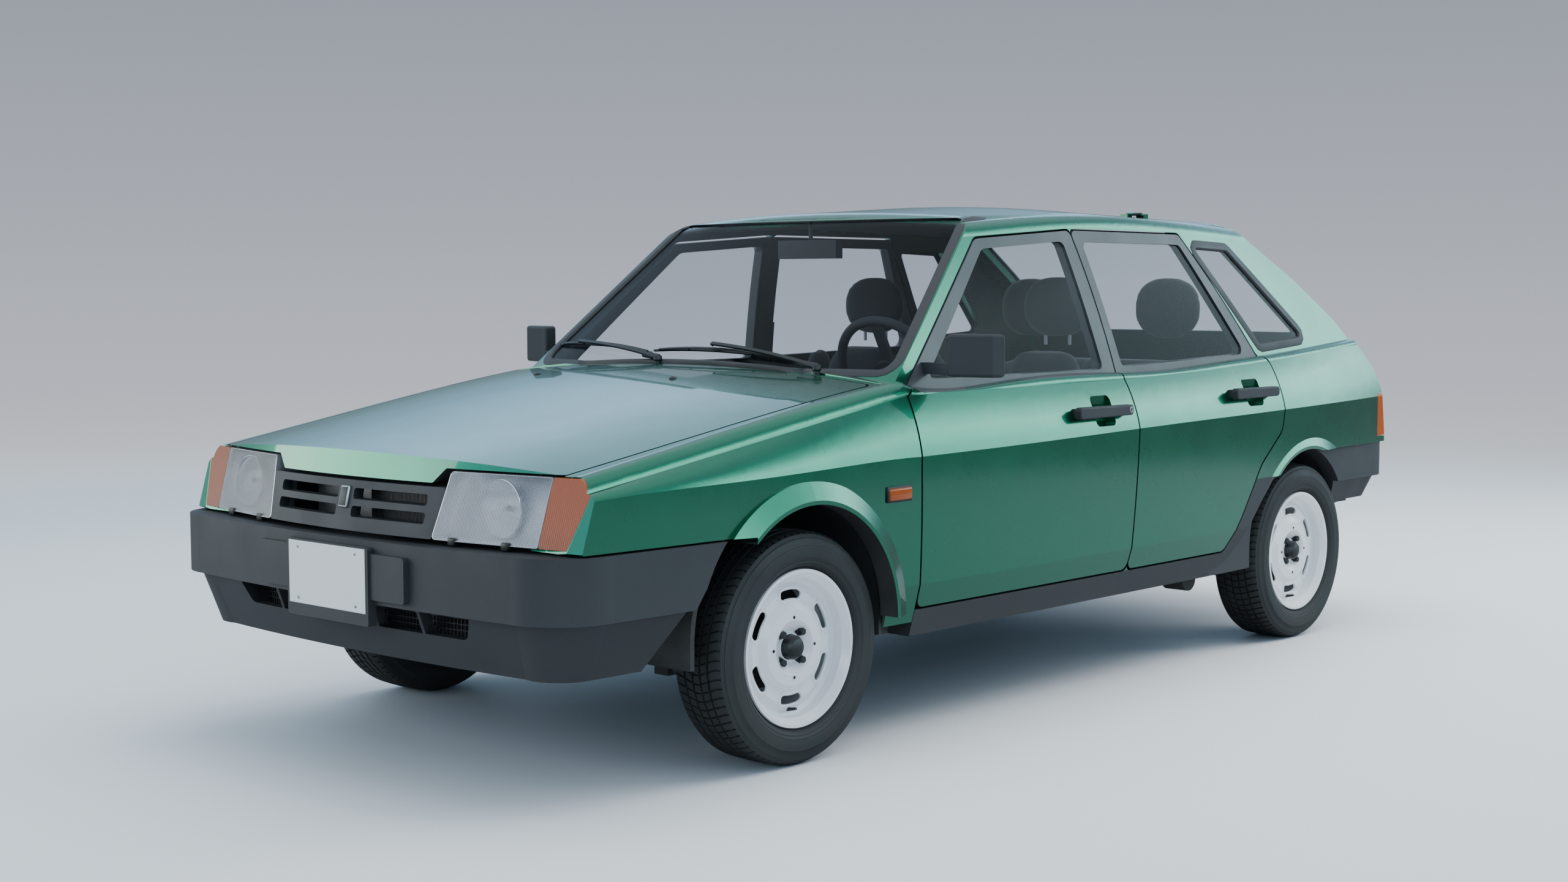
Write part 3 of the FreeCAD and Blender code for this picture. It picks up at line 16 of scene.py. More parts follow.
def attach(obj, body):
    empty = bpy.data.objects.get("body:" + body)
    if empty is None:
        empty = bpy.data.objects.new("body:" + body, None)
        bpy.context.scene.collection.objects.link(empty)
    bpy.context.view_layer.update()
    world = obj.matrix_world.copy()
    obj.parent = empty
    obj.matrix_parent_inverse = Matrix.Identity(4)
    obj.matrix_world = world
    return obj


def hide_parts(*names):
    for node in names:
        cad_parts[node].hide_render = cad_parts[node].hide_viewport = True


LOG = logging.getLogger("hatchback")
FRONT_AXLE = -1.173
REAR_AXLE = 1.287
HUB_HEIGHT = 0.288
SIDES = {"left": 1, "right": -1}
ENDS = {"front": FRONT_AXLE, "rear": REAR_AXLE}
MERGE = 0.00001
TINY = 1e-9
BEYOND = 2.0
FEWEST_POINTS = 8
PANE_FACING = 0.4
PANE_SIDEWAYS = 0.5
CENTRE_SLACK = 0.01
MOTTLE_DETAIL = 5.0
MOTTLE_SPREAD = (0.3, 0.7)
DARKEST = (0.45, 0.45, 0.45, 1.0)
DUST_HEIGHTS = (0.55, 0.1)
GRAIN_DETAIL = 3.0
MIDDLE_COLOR = (0.5, 0.5, 0.5)
WEAVE_DISTORTION = 0.6
LEVEL_FLUTES = 0.35
CUSHION_PRESSURE = 4.0
CLOTH_FRAMES = 20
CHANNEL_WIDTH = 0.008
CHANNEL_DEPTH = 0.007
SEAM_WIDTH = 0.006
SEAM_DEPTH = 0.02
SEAM_HEIGHT = 0.35
SEAM_FROM = 0.9

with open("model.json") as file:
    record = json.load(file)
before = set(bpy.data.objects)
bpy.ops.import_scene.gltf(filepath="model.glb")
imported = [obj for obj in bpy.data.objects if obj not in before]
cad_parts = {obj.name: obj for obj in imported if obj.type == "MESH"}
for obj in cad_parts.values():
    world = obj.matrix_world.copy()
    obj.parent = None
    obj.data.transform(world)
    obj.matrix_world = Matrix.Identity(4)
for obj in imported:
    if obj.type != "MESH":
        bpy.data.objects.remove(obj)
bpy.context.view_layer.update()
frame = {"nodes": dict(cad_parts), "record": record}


class Pattern(Enum):
    """What a finish shows at close range."""

    GRAIN = "grain"
    FLAKES = "flakes"
    WEAVE = "weave"
    FLUTES = "flutes"
    PLAIN = "plain"


class Socket(Enum):
    """What a socket of a node group carries."""

    VECTOR = "NodeSocketVector"
    COLOR = "NodeSocketColor"
    FLOAT = "NodeSocketFloat"


Sockets = Sequence[tuple[str, Socket]]
PLACED: Sockets = (("Vector", Socket.VECTOR), ("Scale", Socket.FLOAT))
RAISED: Sockets = (("Height", Socket.FLOAT),)


def new_group(name: str, inputs: Sockets,
              outputs: Sockets) -> tuple[bpy.types.NodeTree, bpy.types.Node, bpy.types.Node]:
    """Makes an empty shader node group with its sockets.

    Args:
        name: name of the group.
        inputs: name and kind of each input.
        outputs: name and kind of each output.

    Returns:
        The group, its input node and its output node.
    """
    group = bpy.data.node_groups.new(name, "ShaderNodeTree")
    for label, kind in inputs:
        group.interface.new_socket(name=label, in_out="INPUT", socket_type=kind.value)
    for label, kind in outputs:
        group.interface.new_socket(name=label, in_out="OUTPUT", socket_type=kind.value)
    return group, group.nodes.new("NodeGroupInput"), group.nodes.new("NodeGroupOutput")


def feed(tree: bpy.types.NodeTree, node: bpy.types.Node, inputs: dict[int | str, object]) -> None:
    """Gives inputs of a node their link or their value.

    Args:
        tree: the tree that holds the node.
        node: the node.
        inputs: for each input, by name or number, the socket that feeds it or its value.
    """
    for key, value in inputs.items():
        if isinstance(value, bpy.types.NodeSocket):
            tree.links.new(value, node.inputs[key])
        else:
            node.inputs[key].default_value = value


def wired(tree: bpy.types.NodeTree, kind: str, inputs: dict[int | str, object],
          **settings: object) -> bpy.types.Node:
    """Adds a node with its settings and its inputs.

    Args:
        tree: the tree that gets the node.
        kind: type of the node.
        inputs: for each input, by name or number, the socket that feeds it or its value.
        settings: the node's own settings by name.

    Returns:
        The node.
    """
    node = tree.nodes.new(kind)
    for name, value in settings.items():
        setattr(node, name, value)
    feed(tree, node, inputs)
    return node


def product(tree: bpy.types.NodeTree, first: bpy.types.NodeSocket,
            second: bpy.types.NodeSocket) -> bpy.types.NodeSocket:
    """Returns the product of two values."""
    return wired(tree, "ShaderNodeMath", {0: first, 1: second}, operation="MULTIPLY").outputs["Value"]


def blended(tree: bpy.types.NodeTree, share: bpy.types.NodeSocket, first: object,
            second: object) -> bpy.types.NodeSocket:
    """Mixes two colours.

    Args:
        tree: the tree that gets the node.
        share: how much of the second colour is taken.
        first: the first colour, or the socket that gives it.
        second: the second colour, or the socket that gives it.

    Returns:
        The mixed colour.
    """
    inputs = {"Factor": share, "A": first, "B": second}
    return wired(tree, "ShaderNodeMix", inputs, data_type="RGBA").outputs["Result"]


def mottle_group() -> bpy.types.NodeTree:
    """Returns the group that varies a colour and a roughness mask over a surface."""
    name = "mottle"
    if name in bpy.data.node_groups:
        return bpy.data.node_groups[name]
    group, into, out = new_group(
        name,
        (("Vector", Socket.VECTOR), ("Color", Socket.COLOR), ("Dust Color", Socket.COLOR),
         ("Scale", Socket.FLOAT), ("Amount", Socket.FLOAT), ("Dust", Socket.FLOAT)),
        (("Color", Socket.COLOR), ("Mask", Socket.FLOAT)))
    given = into.outputs
    noise = wired(group, "ShaderNodeTexNoise",
                  {"Vector": given["Vector"], "Scale": given["Scale"], "Detail": MOTTLE_DETAIL})
    spread = wired(group, "ShaderNodeMapRange", {
        "Value": noise.outputs["Fac"], "From Min": MOTTLE_SPREAD[0],
        "From Max": MOTTLE_SPREAD[1]}).outputs["Result"]
    darker = wired(group, "ShaderNodeMix",
                   {"Factor": product(group, spread, given["Amount"]), "A": given["Color"], "B": DARKEST},
                   data_type="RGBA", blend_type="MULTIPLY")
    apart = wired(group, "ShaderNodeSeparateXYZ", {"Vector": given["Vector"]})
    low = wired(group, "ShaderNodeMapRange", {
        "Value": apart.outputs["Z"], "From Min": DUST_HEIGHTS[0],
        "From Max": DUST_HEIGHTS[1]}).outputs["Result"]
    patchy = product(group, product(group, low, given["Dust"]), spread)
    dusty = blended(group, patchy, darker.outputs["Result"], given["Dust Color"])
    feed(group, out, {"Color": dusty, "Mask": spread})
    return group


def grain_group() -> bpy.types.NodeTree:
    """Returns the group of moulded plastic grain, put out as a height."""
    name = "moulded_grain"
    if name in bpy.data.node_groups:
        return bpy.data.node_groups[name]
    group, into, out = new_group(name, PLACED, RAISED)
    given = {"Vector": into.outputs["Vector"], "Scale": into.outputs["Scale"]}
    cells = wired(group, "ShaderNodeTexVoronoi", given, feature="SMOOTH_F1")
    noise = wired(group, "ShaderNodeTexNoise", {**given, "Detail": GRAIN_DETAIL})
    both = wired(group, "ShaderNodeMath", {0: cells.outputs["Distance"], 1: noise.outputs["Fac"]},
                 operation="ADD")
    feed(group, out, {"Height": both.outputs["Value"]})
    return group


def flake_group() -> bpy.types.NodeTree:
    """Returns the group of metal flakes in paint, put out as a bent normal and a mask."""
    name = "paint_flakes"
    if name in bpy.data.node_groups:
        return bpy.data.node_groups[name]
    group, into, out = new_group(name, (*PLACED, ("Tilt", Socket.FLOAT)),
                                 (("Normal", Socket.VECTOR), ("Mask", Socket.FLOAT)))
    cells = wired(group, "ShaderNodeTexVoronoi",
                  {"Vector": into.outputs["Vector"], "Scale": into.outputs["Scale"]})
    centred = wired(group, "ShaderNodeVectorMath", {0: cells.outputs["Color"], 1: MIDDLE_COLOR},
                    operation="SUBTRACT")
    tilted = wired(group, "ShaderNodeVectorMath",
                   {0: centred.outputs["Vector"], "Scale": into.outputs["Tilt"]}, operation="SCALE")
    surface = group.nodes.new("ShaderNodeNewGeometry")
    bent = wired(group, "ShaderNodeVectorMath", {0: tilted.outputs["Vector"], 1: surface.outputs["Normal"]},
                 operation="ADD")
    unit = wired(group, "ShaderNodeVectorMath", {0: bent.outputs["Vector"]}, operation="NORMALIZE")
    apart = wired(group, "ShaderNodeSeparateColor", {"Color": cells.outputs["Color"]})
    feed(group, out, {"Normal": unit.outputs["Vector"], "Mask": apart.outputs["Red"]})
    return group


def weave_group() -> bpy.types.NodeTree:
    """Returns the group of a woven cloth, put out as a height."""
    name = "cloth_weave"
    if name in bpy.data.node_groups:
        return bpy.data.node_groups[name]
    group, into, out = new_group(name, PLACED, RAISED)
    given = {"Vector": into.outputs["Vector"], "Scale": into.outputs["Scale"], "Distortion": WEAVE_DISTORTION}
    waves = [wired(group, "ShaderNodeTexWave", given, bands_direction=way).outputs["Fac"]
             for way in ("X", "Z")]
    top = wired(group, "ShaderNodeMath", dict(enumerate(waves)), operation="MAXIMUM")
    feed(group, out, {"Height": top.outputs["Value"]})
    return group


def flute_group() -> bpy.types.NodeTree:
    """Returns the group of moulded lens flutes, put out as a height."""
    name = "lens_flutes"
    if name in bpy.data.node_groups:
        return bpy.data.node_groups[name]
    group, into, out = new_group(name, PLACED, RAISED)
    given = {"Vector": into.outputs["Vector"], "Scale": into.outputs["Scale"]}
    upright, level = [wired(group, "ShaderNodeTexWave", given, bands_direction=way).outputs["Fac"]
                      for way in ("X", "Z")]
    both = wired(group, "ShaderNodeMath", {0: level, 1: LEVEL_FLUTES, 2: upright}, operation="MULTIPLY_ADD")
    feed(group, out, {"Height": both.outputs["Value"]})
    return group


@dataclass(frozen=True)
class Finish:
    """One surface finish, built as a procedural material the first time it is used."""

    name: str
    slot: str
    color: tuple[float, float, float]
    roughness: float = 0.5
    metallic: float = 0.0
    coat: float = 0.0
    transmission: float = 0.0
    ior: float = 1.5
    sheen: float = 0.0
    pattern: Pattern = Pattern.GRAIN
    pattern_scale: float = 900.0
    pattern_depth: float = 0.0002
    mottle_scale: float = 6.0
    mottle: float = 0.15
    dust: float = 0.0
    dust_color: tuple[float, float, float] = (0.30, 0.28, 0.25)
    coat_roughness: float = 0.03
    smoothest: float = 0.9
    roughest: float = 1.15
    relief_strength: float = 0.6

    def material(self) -> bpy.types.Material:
        """Returns the Blender material of this finish, made once."""
        if self.name in bpy.data.materials:
            return bpy.data.materials[self.name]
        material = bpy.data.materials.new(self.name)
        material.use_nodes = True
        tree = material.node_tree
        shader = tree.nodes["Principled BSDF"]
        feed(tree, shader, {
            "Metallic": self.metallic, "Coat Weight": self.coat, "Coat Roughness": self.coat_roughness,
            "Transmission Weight": self.transmission, "IOR": self.ior, "Sheen Weight": self.sheen})
        place = tree.nodes.new("ShaderNodeTexCoord").outputs["Object"]
        self._color(tree, shader, place)
        if self.pattern is not Pattern.PLAIN:
            self._relief(tree, shader, place)
        if self.transmission:
            self._clear_shadow(tree, shader)
        material.diffuse_color = (*self.color, 1.0)
        return material

    def _color(self, tree: bpy.types.NodeTree, shader: bpy.types.Node, place: bpy.types.NodeSocket) -> None:
        """Links the varied colour and roughness.

        Args:
            tree: node tree of the material.
            shader: its surface shader.
            place: socket with the object coordinates.
        """
        varied = wired(tree, "ShaderNodeGroup", {
            "Vector": place, "Color": (*self.color, 1.0), "Dust Color": (*self.dust_color, 1.0),
            "Scale": self.mottle_scale, "Amount": self.mottle, "Dust": self.dust}, node_tree=mottle_group())
        rough = wired(tree, "ShaderNodeMapRange", {
            "Value": varied.outputs["Mask"], "To Min": self.roughness * self.smoothest,
            "To Max": min(1.0, self.roughness * self.roughest)})
        feed(tree, shader, {"Base Color": varied.outputs["Color"], "Roughness": rough.outputs["Result"]})

    def _relief(self, tree: bpy.types.NodeTree, shader: bpy.types.Node, place: bpy.types.NodeSocket) -> None:
        """Links the fine relief of the finish.

        Args:
            tree: node tree of the material.
            shader: its surface shader.
            place: socket with the object coordinates.
        """
        makers: dict[Pattern, Callable[[], bpy.types.NodeTree]] = {
            Pattern.GRAIN: grain_group, Pattern.FLAKES: flake_group,
            Pattern.WEAVE: weave_group, Pattern.FLUTES: flute_group}
        relief = wired(tree, "ShaderNodeGroup", {"Vector": place, "Scale": self.pattern_scale},
                       node_tree=makers[self.pattern]())
        if self.pattern is Pattern.FLAKES:
            feed(tree, relief, {"Tilt": self.pattern_depth})
            feed(tree, shader, {"Normal": relief.outputs["Normal"]})
            return
        bump = wired(tree, "ShaderNodeBump", {
            "Distance": self.pattern_depth, "Strength": self.relief_strength,
            "Height": relief.outputs["Height"]})
        feed(tree, shader, {"Normal": bump.outputs["Normal"]})

    def _clear_shadow(self, tree: bpy.types.NodeTree, shader: bpy.types.Node) -> None:
        """Lets light pass through a clear finish on its way to what lies behind.

        Args:
            tree: node tree of the material.
            shader: its surface shader.
        """
        rays = tree.nodes.new("ShaderNodeLightPath")
        clear = wired(tree, "ShaderNodeBsdfTransparent", {"Color": (*self.color, 1.0)})
        mix = wired(tree, "ShaderNodeMixShader", {
            "Fac": rays.outputs["Is Shadow Ray"], 1: shader.outputs["BSDF"], 2: clear.outputs["BSDF"]})
        feed(tree, tree.nodes["Material Output"], {"Surface": mix.outputs["Shader"]})


PAINT = Finish("green_metallic_paint", "body_paint", (0.0, 0.180, 0.094), roughness=0.27, metallic=0.92,
               coat=1.0, pattern=Pattern.FLAKES, pattern_scale=1500.0, pattern_depth=0.006, mottle=0.03,
               dust=0.02)
UNDER = Finish("under_body_coat", "under_paint", (0.018, 0.019, 0.02), roughness=0.75, pattern_scale=260.0,
               pattern_depth=0.001, dust=0.35)
BUMPER = Finish("bumper_plastic_grey", "bumper_plastic", (0.026, 0.027, 0.030), roughness=0.55,
                pattern_scale=1100.0, pattern_depth=0.0003, dust=0.06)
TRIM = Finish("black_trim", "bumper_plastic", (0.012, 0.012, 0.013), roughness=0.42, pattern_scale=1400.0,
              pattern_depth=0.00015)
FRAME = Finish("window_frame_grey", "bumper_plastic", (0.050, 0.053, 0.057), roughness=0.45, coat=0.15,
               pattern_scale=900.0, pattern_depth=0.0001)
SEAL = Finish("window_rubber", "bumper_plastic", (0.030, 0.031, 0.033), roughness=0.5, pattern_scale=700.0,
              pattern_depth=0.0002)
GLASS = Finish("smoke_glass", "tinted_glass", (0.86, 0.90, 0.925), roughness=0.0, transmission=1.0, ior=1.13,
               pattern=Pattern.PLAIN, mottle=0.0)
PALE = Finish("pale_lens", "red_lens", (0.62, 0.62, 0.62), roughness=0.14, coat=0.6, pattern=Pattern.FLUTES,
              pattern_scale=60.0, pattern_depth=0.0009, mottle=0.08)
LENS = Finish("lamp_lens_clear", "lamp_glass", (0.97, 0.98, 0.99), roughness=0.02, transmission=1.0, ior=1.45,
              pattern=Pattern.FLUTES, pattern_scale=75.0, pattern_depth=0.0003, mottle=0.0)
REFLECTOR = Finish("lamp_reflector", "lamp_glass", (0.80, 0.82, 0.85), roughness=0.24, metallic=0.6,
                   pattern=Pattern.PLAIN, mottle=0.05)
MIRROR = Finish("mirror_silver", "lamp_glass", (0.80, 0.83, 0.85), roughness=0.02, metallic=1.0,
                pattern=Pattern.PLAIN, mottle=0.0)
AMBER = Finish("amber_lamp_plastic", "amber_lens", (0.33, 0.060, 0.002), roughness=0.18, coat=0.25,
               pattern=Pattern.FLUTES, pattern_scale=60.0, pattern_depth=0.0003, mottle=0.10)
RED = Finish("red_lamp_plastic", "red_lens", (0.26, 0.004, 0.005), roughness=0.18, coat=0.25,
             pattern=Pattern.FLUTES, pattern_scale=60.0, pattern_depth=0.0003, mottle=0.12)
WHEEL = Finish("white_wheel_enamel", "wheel_paint", (0.80, 0.81, 0.82), roughness=0.28, coat=0.5,
               pattern_scale=500.0, pattern_depth=0.00008, mottle=0.04, dust=0.06)
RUBBER = Finish("tyre_rubber", "tyre", (0.016, 0.016, 0.017), roughness=0.66, pattern_scale=700.0,
                pattern_depth=0.0003, mottle=0.25, dust=0.06)
METAL = Finish("dull_casting", "cast_metal", (0.20, 0.20, 0.21), roughness=0.45, metallic=0.9,
               pattern_scale=300.0, pattern_depth=0.0006, mottle=0.3, dust=0.2)
STEEL = Finish("plated_steel", "cast_metal", (0.42, 0.43, 0.44), roughness=0.30, metallic=1.0,
               pattern_scale=900.0, pattern_depth=0.00005, mottle=0.1)
CABIN = Finish("moulded_cabin_plastic", "cabin_plastic", (0.030, 0.031, 0.034), roughness=0.6,
               pattern_scale=1200.0, pattern_depth=0.0003)
LINING = Finish("roof_lining", "seat_fabric", (0.085, 0.088, 0.092), roughness=0.9, pattern=Pattern.WEAVE,
                pattern_scale=220.0, pattern_depth=0.0003, mottle=0.1)
CLOTH = Finish("seat_cloth", "seat_fabric", (0.050, 0.052, 0.058), roughness=0.9, sheen=0.3,
               pattern=Pattern.WEAVE, pattern_scale=160.0, pattern_depth=0.0006, mottle=0.2)
PLATE = Finish("plate_enamel", "plate_white", (0.78, 0.78, 0.76), roughness=0.3, coat=0.3,
               pattern_scale=200.0, pattern_depth=0.0001, mottle=0.04)
SLOT_FINISHES = {finish.slot: finish for finish in
                 (PAINT, UNDER, BUMPER, GLASS, LENS, AMBER, RED, WHEEL, RUBBER, METAL, CABIN, CLOTH, PLATE)}


def aft(offset: float) -> float:
    """Returns the place along the car at a distance behind the front axle."""
    return FRONT_AXLE + offset


def on_line(points: Sequence[tuple[float, float]], place: float) -> float:
    """Returns the height of a broken line at a place, level before its start and past its end."""
    for (x0, y0), (x1, y1) in zip(points, points[1:]):
        if place <= x1:
            return y0 + (y1 - y0) * max(0.0, (place - x0) / (x1 - x0))
    return points[-1][1]


def within(value: float, limits: tuple[float, float]) -> bool:
    """Tells whether a value lies between two limits."""
    return limits[0] < value < limits[1]


def keystone(foot: float, low: float, top: float, high: float) -> list[tuple[float, float]]:
    """Returns a four-cornered section from its half widths and heights at the foot and at the top."""
    return [(-foot, low), (foot, low), (top, high), (-top, high)]


def joined(node: str) -> bmesh.types.BMesh:
    """Returns a merged copy of a CAD node's mesh."""
    shape = bmesh.new()
    shape.from_mesh(frame["nodes"][node].data)
    bmesh.ops.remove_doubles(shape, verts=shape.verts[:], dist=MERGE)
    shape.normal_update()
    return shape


def parted(shape: bmesh.types.BMesh, wanted: Callable[[bmesh.types.BMFace], bool]) -> bmesh.types.BMesh:
    """Copies the wanted faces of a shape.

    Args:
        shape: the shape, which stays as it is.
        wanted: says whether a face is kept.

    Returns:
        The new shape.
    """
    part = shape.copy()
    part.normal_update()
    bmesh.ops.delete(part, geom=[face for face in part.faces if not wanted(face)], context="FACES")
    return part


def gathered(parts: Sequence[tuple[bmesh.types.BMesh, int]]) -> bmesh.types.BMesh:
    """Brings parts together in one shape and frees them.

    Args:
        parts: each part with the number of its finish.

    Returns:
        The whole shape.
    """
    whole = bmesh.new()
    for part, finish in parts:
        for face in part.faces:
            face.material_index = finish
        carrier = bpy.data.meshes.new("carrier")
        part.to_mesh(carrier)
        part.free()
        whole.from_mesh(carrier)
        bpy.data.meshes.remove(carrier)
    return whole


def opposite(shape: bmesh.types.BMesh) -> bmesh.types.BMesh:
    """Returns a copy of a shape on the other side of the car."""
    copy = shape.copy()
    bmesh.ops.scale(copy, vec=(-1.0, 1.0, 1.0), verts=copy.verts[:])
    bmesh.ops.reverse_faces(copy, faces=copy.faces[:])
    return copy


def pair(shape: bmesh.types.BMesh, finish: int = 0) -> list[tuple[bmesh.types.BMesh, int]]:
    """Returns the mirror image of a part for the car's right and the part itself, with their finish."""
    return [(opposite(shape), finish), (shape, finish)]


def turned(shape: bmesh.types.BMesh, angle: float, axis: str, place: Sequence[float]) -> bmesh.types.BMesh:
    """Turns a shape made at the origin about an axis and moves it to its place."""
    move = Matrix.Translation(Vector(place)) @ Matrix.Rotation(angle, 4, axis)
    bmesh.ops.transform(shape, matrix=move, verts=shape.verts[:])
    return shape


def soften(shape: bmesh.types.BMesh, width: float, steps: int) -> None:
    """Bevels every edge of a shape."""
    bmesh.ops.bevel(shape, geom=shape.edges[:], offset=width, offset_type="OFFSET", affect="EDGES",
                    segments=steps, profile=0.5, material=-1)


def brick(low: Sequence[float], high: Sequence[float], rounding: float = 0.0,
          steps: int = 2) -> bmesh.types.BMesh:
    """Makes a block with rounded edges.

    Args:
        low: its lowest corner.
        high: its highest corner.
        rounding: width of the rounding, or 0.
        steps: facets across the rounding.

    Returns:
        The shape.
    """
    shape = bmesh.new()
    start, end = Vector(low), Vector(high)
    place = Matrix.Translation((start + end) / 2) @ Matrix.Diagonal((*(end - start), 1.0))
    bmesh.ops.create_cube(shape, size=1.0, matrix=place)
    if rounding:
        soften(shape, rounding, steps)
    return shape


def bar(start: Sequence[float], end: Sequence[float], radius: float, far_radius: float | None = None,
        steps: int = 16) -> bmesh.types.BMesh:
    """Makes a round bar between two points.

    Args:
        start: one end.
        end: the other end.
        radius: radius at the start.
        far_radius: radius at the end, if it differs.
        steps: facets round it.

    Returns:
        The shape.
    """
    shape = bmesh.new()
    way = Vector(end) - Vector(start)
    turn = way.to_track_quat("Z", "Y").to_matrix().to_4x4()
    bmesh.ops.create_cone(shape, cap_ends=True, segments=steps, radius1=radius,
                          radius2=radius if far_radius is None else far_radius, depth=way.length,
                          matrix=Matrix.Translation((Vector(start) + Vector(end)) / 2) @ turn)
    return shape


def spun(profile: Sequence[tuple[float, float]], steps: int = 48, closed: bool = False) -> bmesh.types.BMesh:
    """Turns a profile about the X axis.

    Args:
        profile: points as (along X, radius).
        steps: facets round it.
        closed: whether the profile's end meets its start.

    Returns:
        The shape.
    """
    shape = bmesh.new()
    verts = [shape.verts.new((along, 0.0, radius)) for along, radius in profile]
    pairs = list(zip(verts, verts[1:])) + ([(verts[-1], verts[0])] if closed else [])
    edges = [shape.edges.new(pair) for pair in pairs]
    bmesh.ops.spin(shape, geom=verts + edges, cent=(0.0, 0.0, 0.0), axis=(1.0, 0.0, 0.0),
                   dvec=(0.0, 0.0, 0.0), angle=math.tau, steps=steps, use_merge=True, use_duplicate=False)
    bmesh.ops.remove_doubles(shape, verts=shape.verts[:], dist=MERGE)
    bmesh.ops.recalc_face_normals(shape, faces=shape.faces[:])
    return shape


def faced(shape: bmesh.types.BMesh, place: Sequence[float], way: Sequence[float]) -> bmesh.types.BMesh:
    """Stands a shape made about the X axis at a place, with its X axis along a way."""
    turn = Vector(way).to_track_quat("X", "Z").to_matrix().to_4x4()
    bmesh.ops.transform(shape, matrix=Matrix.Translation(Vector(place)) @ turn, verts=shape.verts[:])
    return shape


def swept(path: Sequence[tuple[Vector, Vector]], section: Sequence[tuple[float, float]],
          closed: bool = False) -> bmesh.types.BMesh:
    """Pulls a closed section along a path.

    Args:
        path: points, each with the direction that faces out there.
        section: corners as (across, out) from the path.
        closed: whether the path's end meets its start.

    Returns:
        The shape.
    """
    shape = bmesh.new()
    rings = []
    count = len(path)
    for index, (point, facing) in enumerate(path):
        before = path[index - 1][0] if closed or index else point
        after = path[(index + 1) % count][0] if closed or index < count - 1 else point
        along = (after - before).normalized()
        out = (facing - along * facing.dot(along)).normalized()
        across = along.cross(out)
        corners = [shape.verts.new(point + across * a + out * b) for a, b in section]
        rings.append([shape.edges.new((corner, corners[(k + 1) % len(corners)]))
                      for k, corner in enumerate(corners)])
    for first, second in list(zip(rings, rings[1:])) + ([(rings[-1], rings[0])] if closed else []):
        bmesh.ops.bridge_loops(shape, edges=first + second)
    if not closed:
        for ring in (rings[0], rings[-1]):
            bmesh.ops.contextual_create(shape, geom=ring)
    bmesh.ops.recalc_face_normals(shape, faces=shape.faces[:])
    return shape


def outer_rim(node: str, out: Sequence[float], step: float) -> list[tuple[Vector, Vector]]:
    """Finds the border of the outer face of a pane on the car's left or middle.

    Args:
        node: the pane.
        out: the direction that its outer face looks in.
        step: distance between the points that are given back.

    Returns:
        Points round the border with the pane's direction there, running so that across points away from it.
    """
    shape = joined(node)
    least = -CENTRE_SLACK if abs(out[0]) > PANE_SIDEWAYS else -BEYOND
    chosen = {face for face in shape.faces
              if face.normal.dot(Vector(out)) > PANE_FACING and face.calc_center_median().x > least}
    border = [edge for edge in shape.edges if sum(face in chosen for face in edge.link_faces) == 1]
    links: dict[bmesh.types.BMVert, list[bmesh.types.BMEdge]] = {}
    for edge in border:
        for vert in edge.verts:
            links.setdefault(vert, []).append(edge)
    start = border[0].verts[0]
    vert, last = start, links[start][0]
    loop = []
    while True:
        facing = sum((face.normal for face in vert.link_faces if face in chosen), Vector()).normalized()
        loop.append((vert.co.copy(), facing))
        last = next(edge for edge in links[vert] if edge is not last)
        vert = last.other_vert(vert)
        if vert is start:
            break
    shape.free()
    loop = evenly(loop, step)
    middle = sum((point for point, facing in loop), Vector()) / len(loop)
    point, facing = loop[0]
    if (loop[1][0] - loop[-1][0]).cross(facing).dot(point - middle) < 0:
        loop.reverse()
    return loop


def evenly(loop: Sequence[tuple[Vector, Vector]], step: float) -> list[tuple[Vector, Vector]]:
    """Spaces the points of a closed loop evenly.

    Args:
        loop: points with their directions.
        step: wanted distance between points.

    Returns:
        The spaced points with their directions.
    """
    ends = list(zip(loop, list(loop[1:]) + [loop[0]]))
    total = sum((b[0] - a[0]).length for a, b in ends)
    count = max(FEWEST_POINTS, round(total / step))
    result = []
    passed = 0.0
    for a, b in ends:
        length = (b[0] - a[0]).length
        while len(result) < count and len(result) * total / count <= passed + length:
            share = (len(result) * total / count - passed) / max(length, TINY)
            result.append((a[0].lerp(b[0], share), a[1].lerp(b[1], share).normalized()))
        passed += length
    return result


def emit(shape: bmesh.types.BMesh, name: str, finishes: Sequence[Finish], body: str, sharp: float = 35.0,
         stands_for: Sequence[str] = ()) -> bpy.types.Object:
    """Makes a finished piece of a shape, and frees the shape.

    Args:
        shape: the shape, with its place in it.
        name: name of the piece.
        finishes: its finishes, in the order of their numbers.
        body: the moving body that it rides.
        sharp: angle in degrees from which an edge stays sharp.
        stands_for: the CAD nodes that it replaces.

    Returns:
        The piece.
    """
    mesh = bpy.data.meshes.new(name)
    shape.to_mesh(mesh)
    shape.free()
    for finish in finishes:
        mesh.materials.append(finish.material())
    mesh.shade_smooth()
    mesh.set_sharp_from_angle(angle=math.radians(sharp))
    return seated(mesh, name, body, stands_for)


def seated(mesh: bpy.types.Mesh, name: str, body: str,
           stands_for: Sequence[str]) -> bpy.types.Object:
    """Puts a mesh into the scene as a piece that rides a body.

    Args:
        mesh: the finished mesh.
        name: name of the piece.
        body: the moving body that it rides.
        stands_for: the CAD nodes that it replaces.

    Returns:
        The piece.
    """
    piece = bpy.data.objects.new(name, mesh)
    bpy.context.scene.collection.objects.link(piece)
    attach(piece, body)
    if stands_for:
        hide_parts(*stands_for)
    LOG.info("%s: %d faces on %s", name, len(mesh.polygons), body)
    return piece


# Body panels

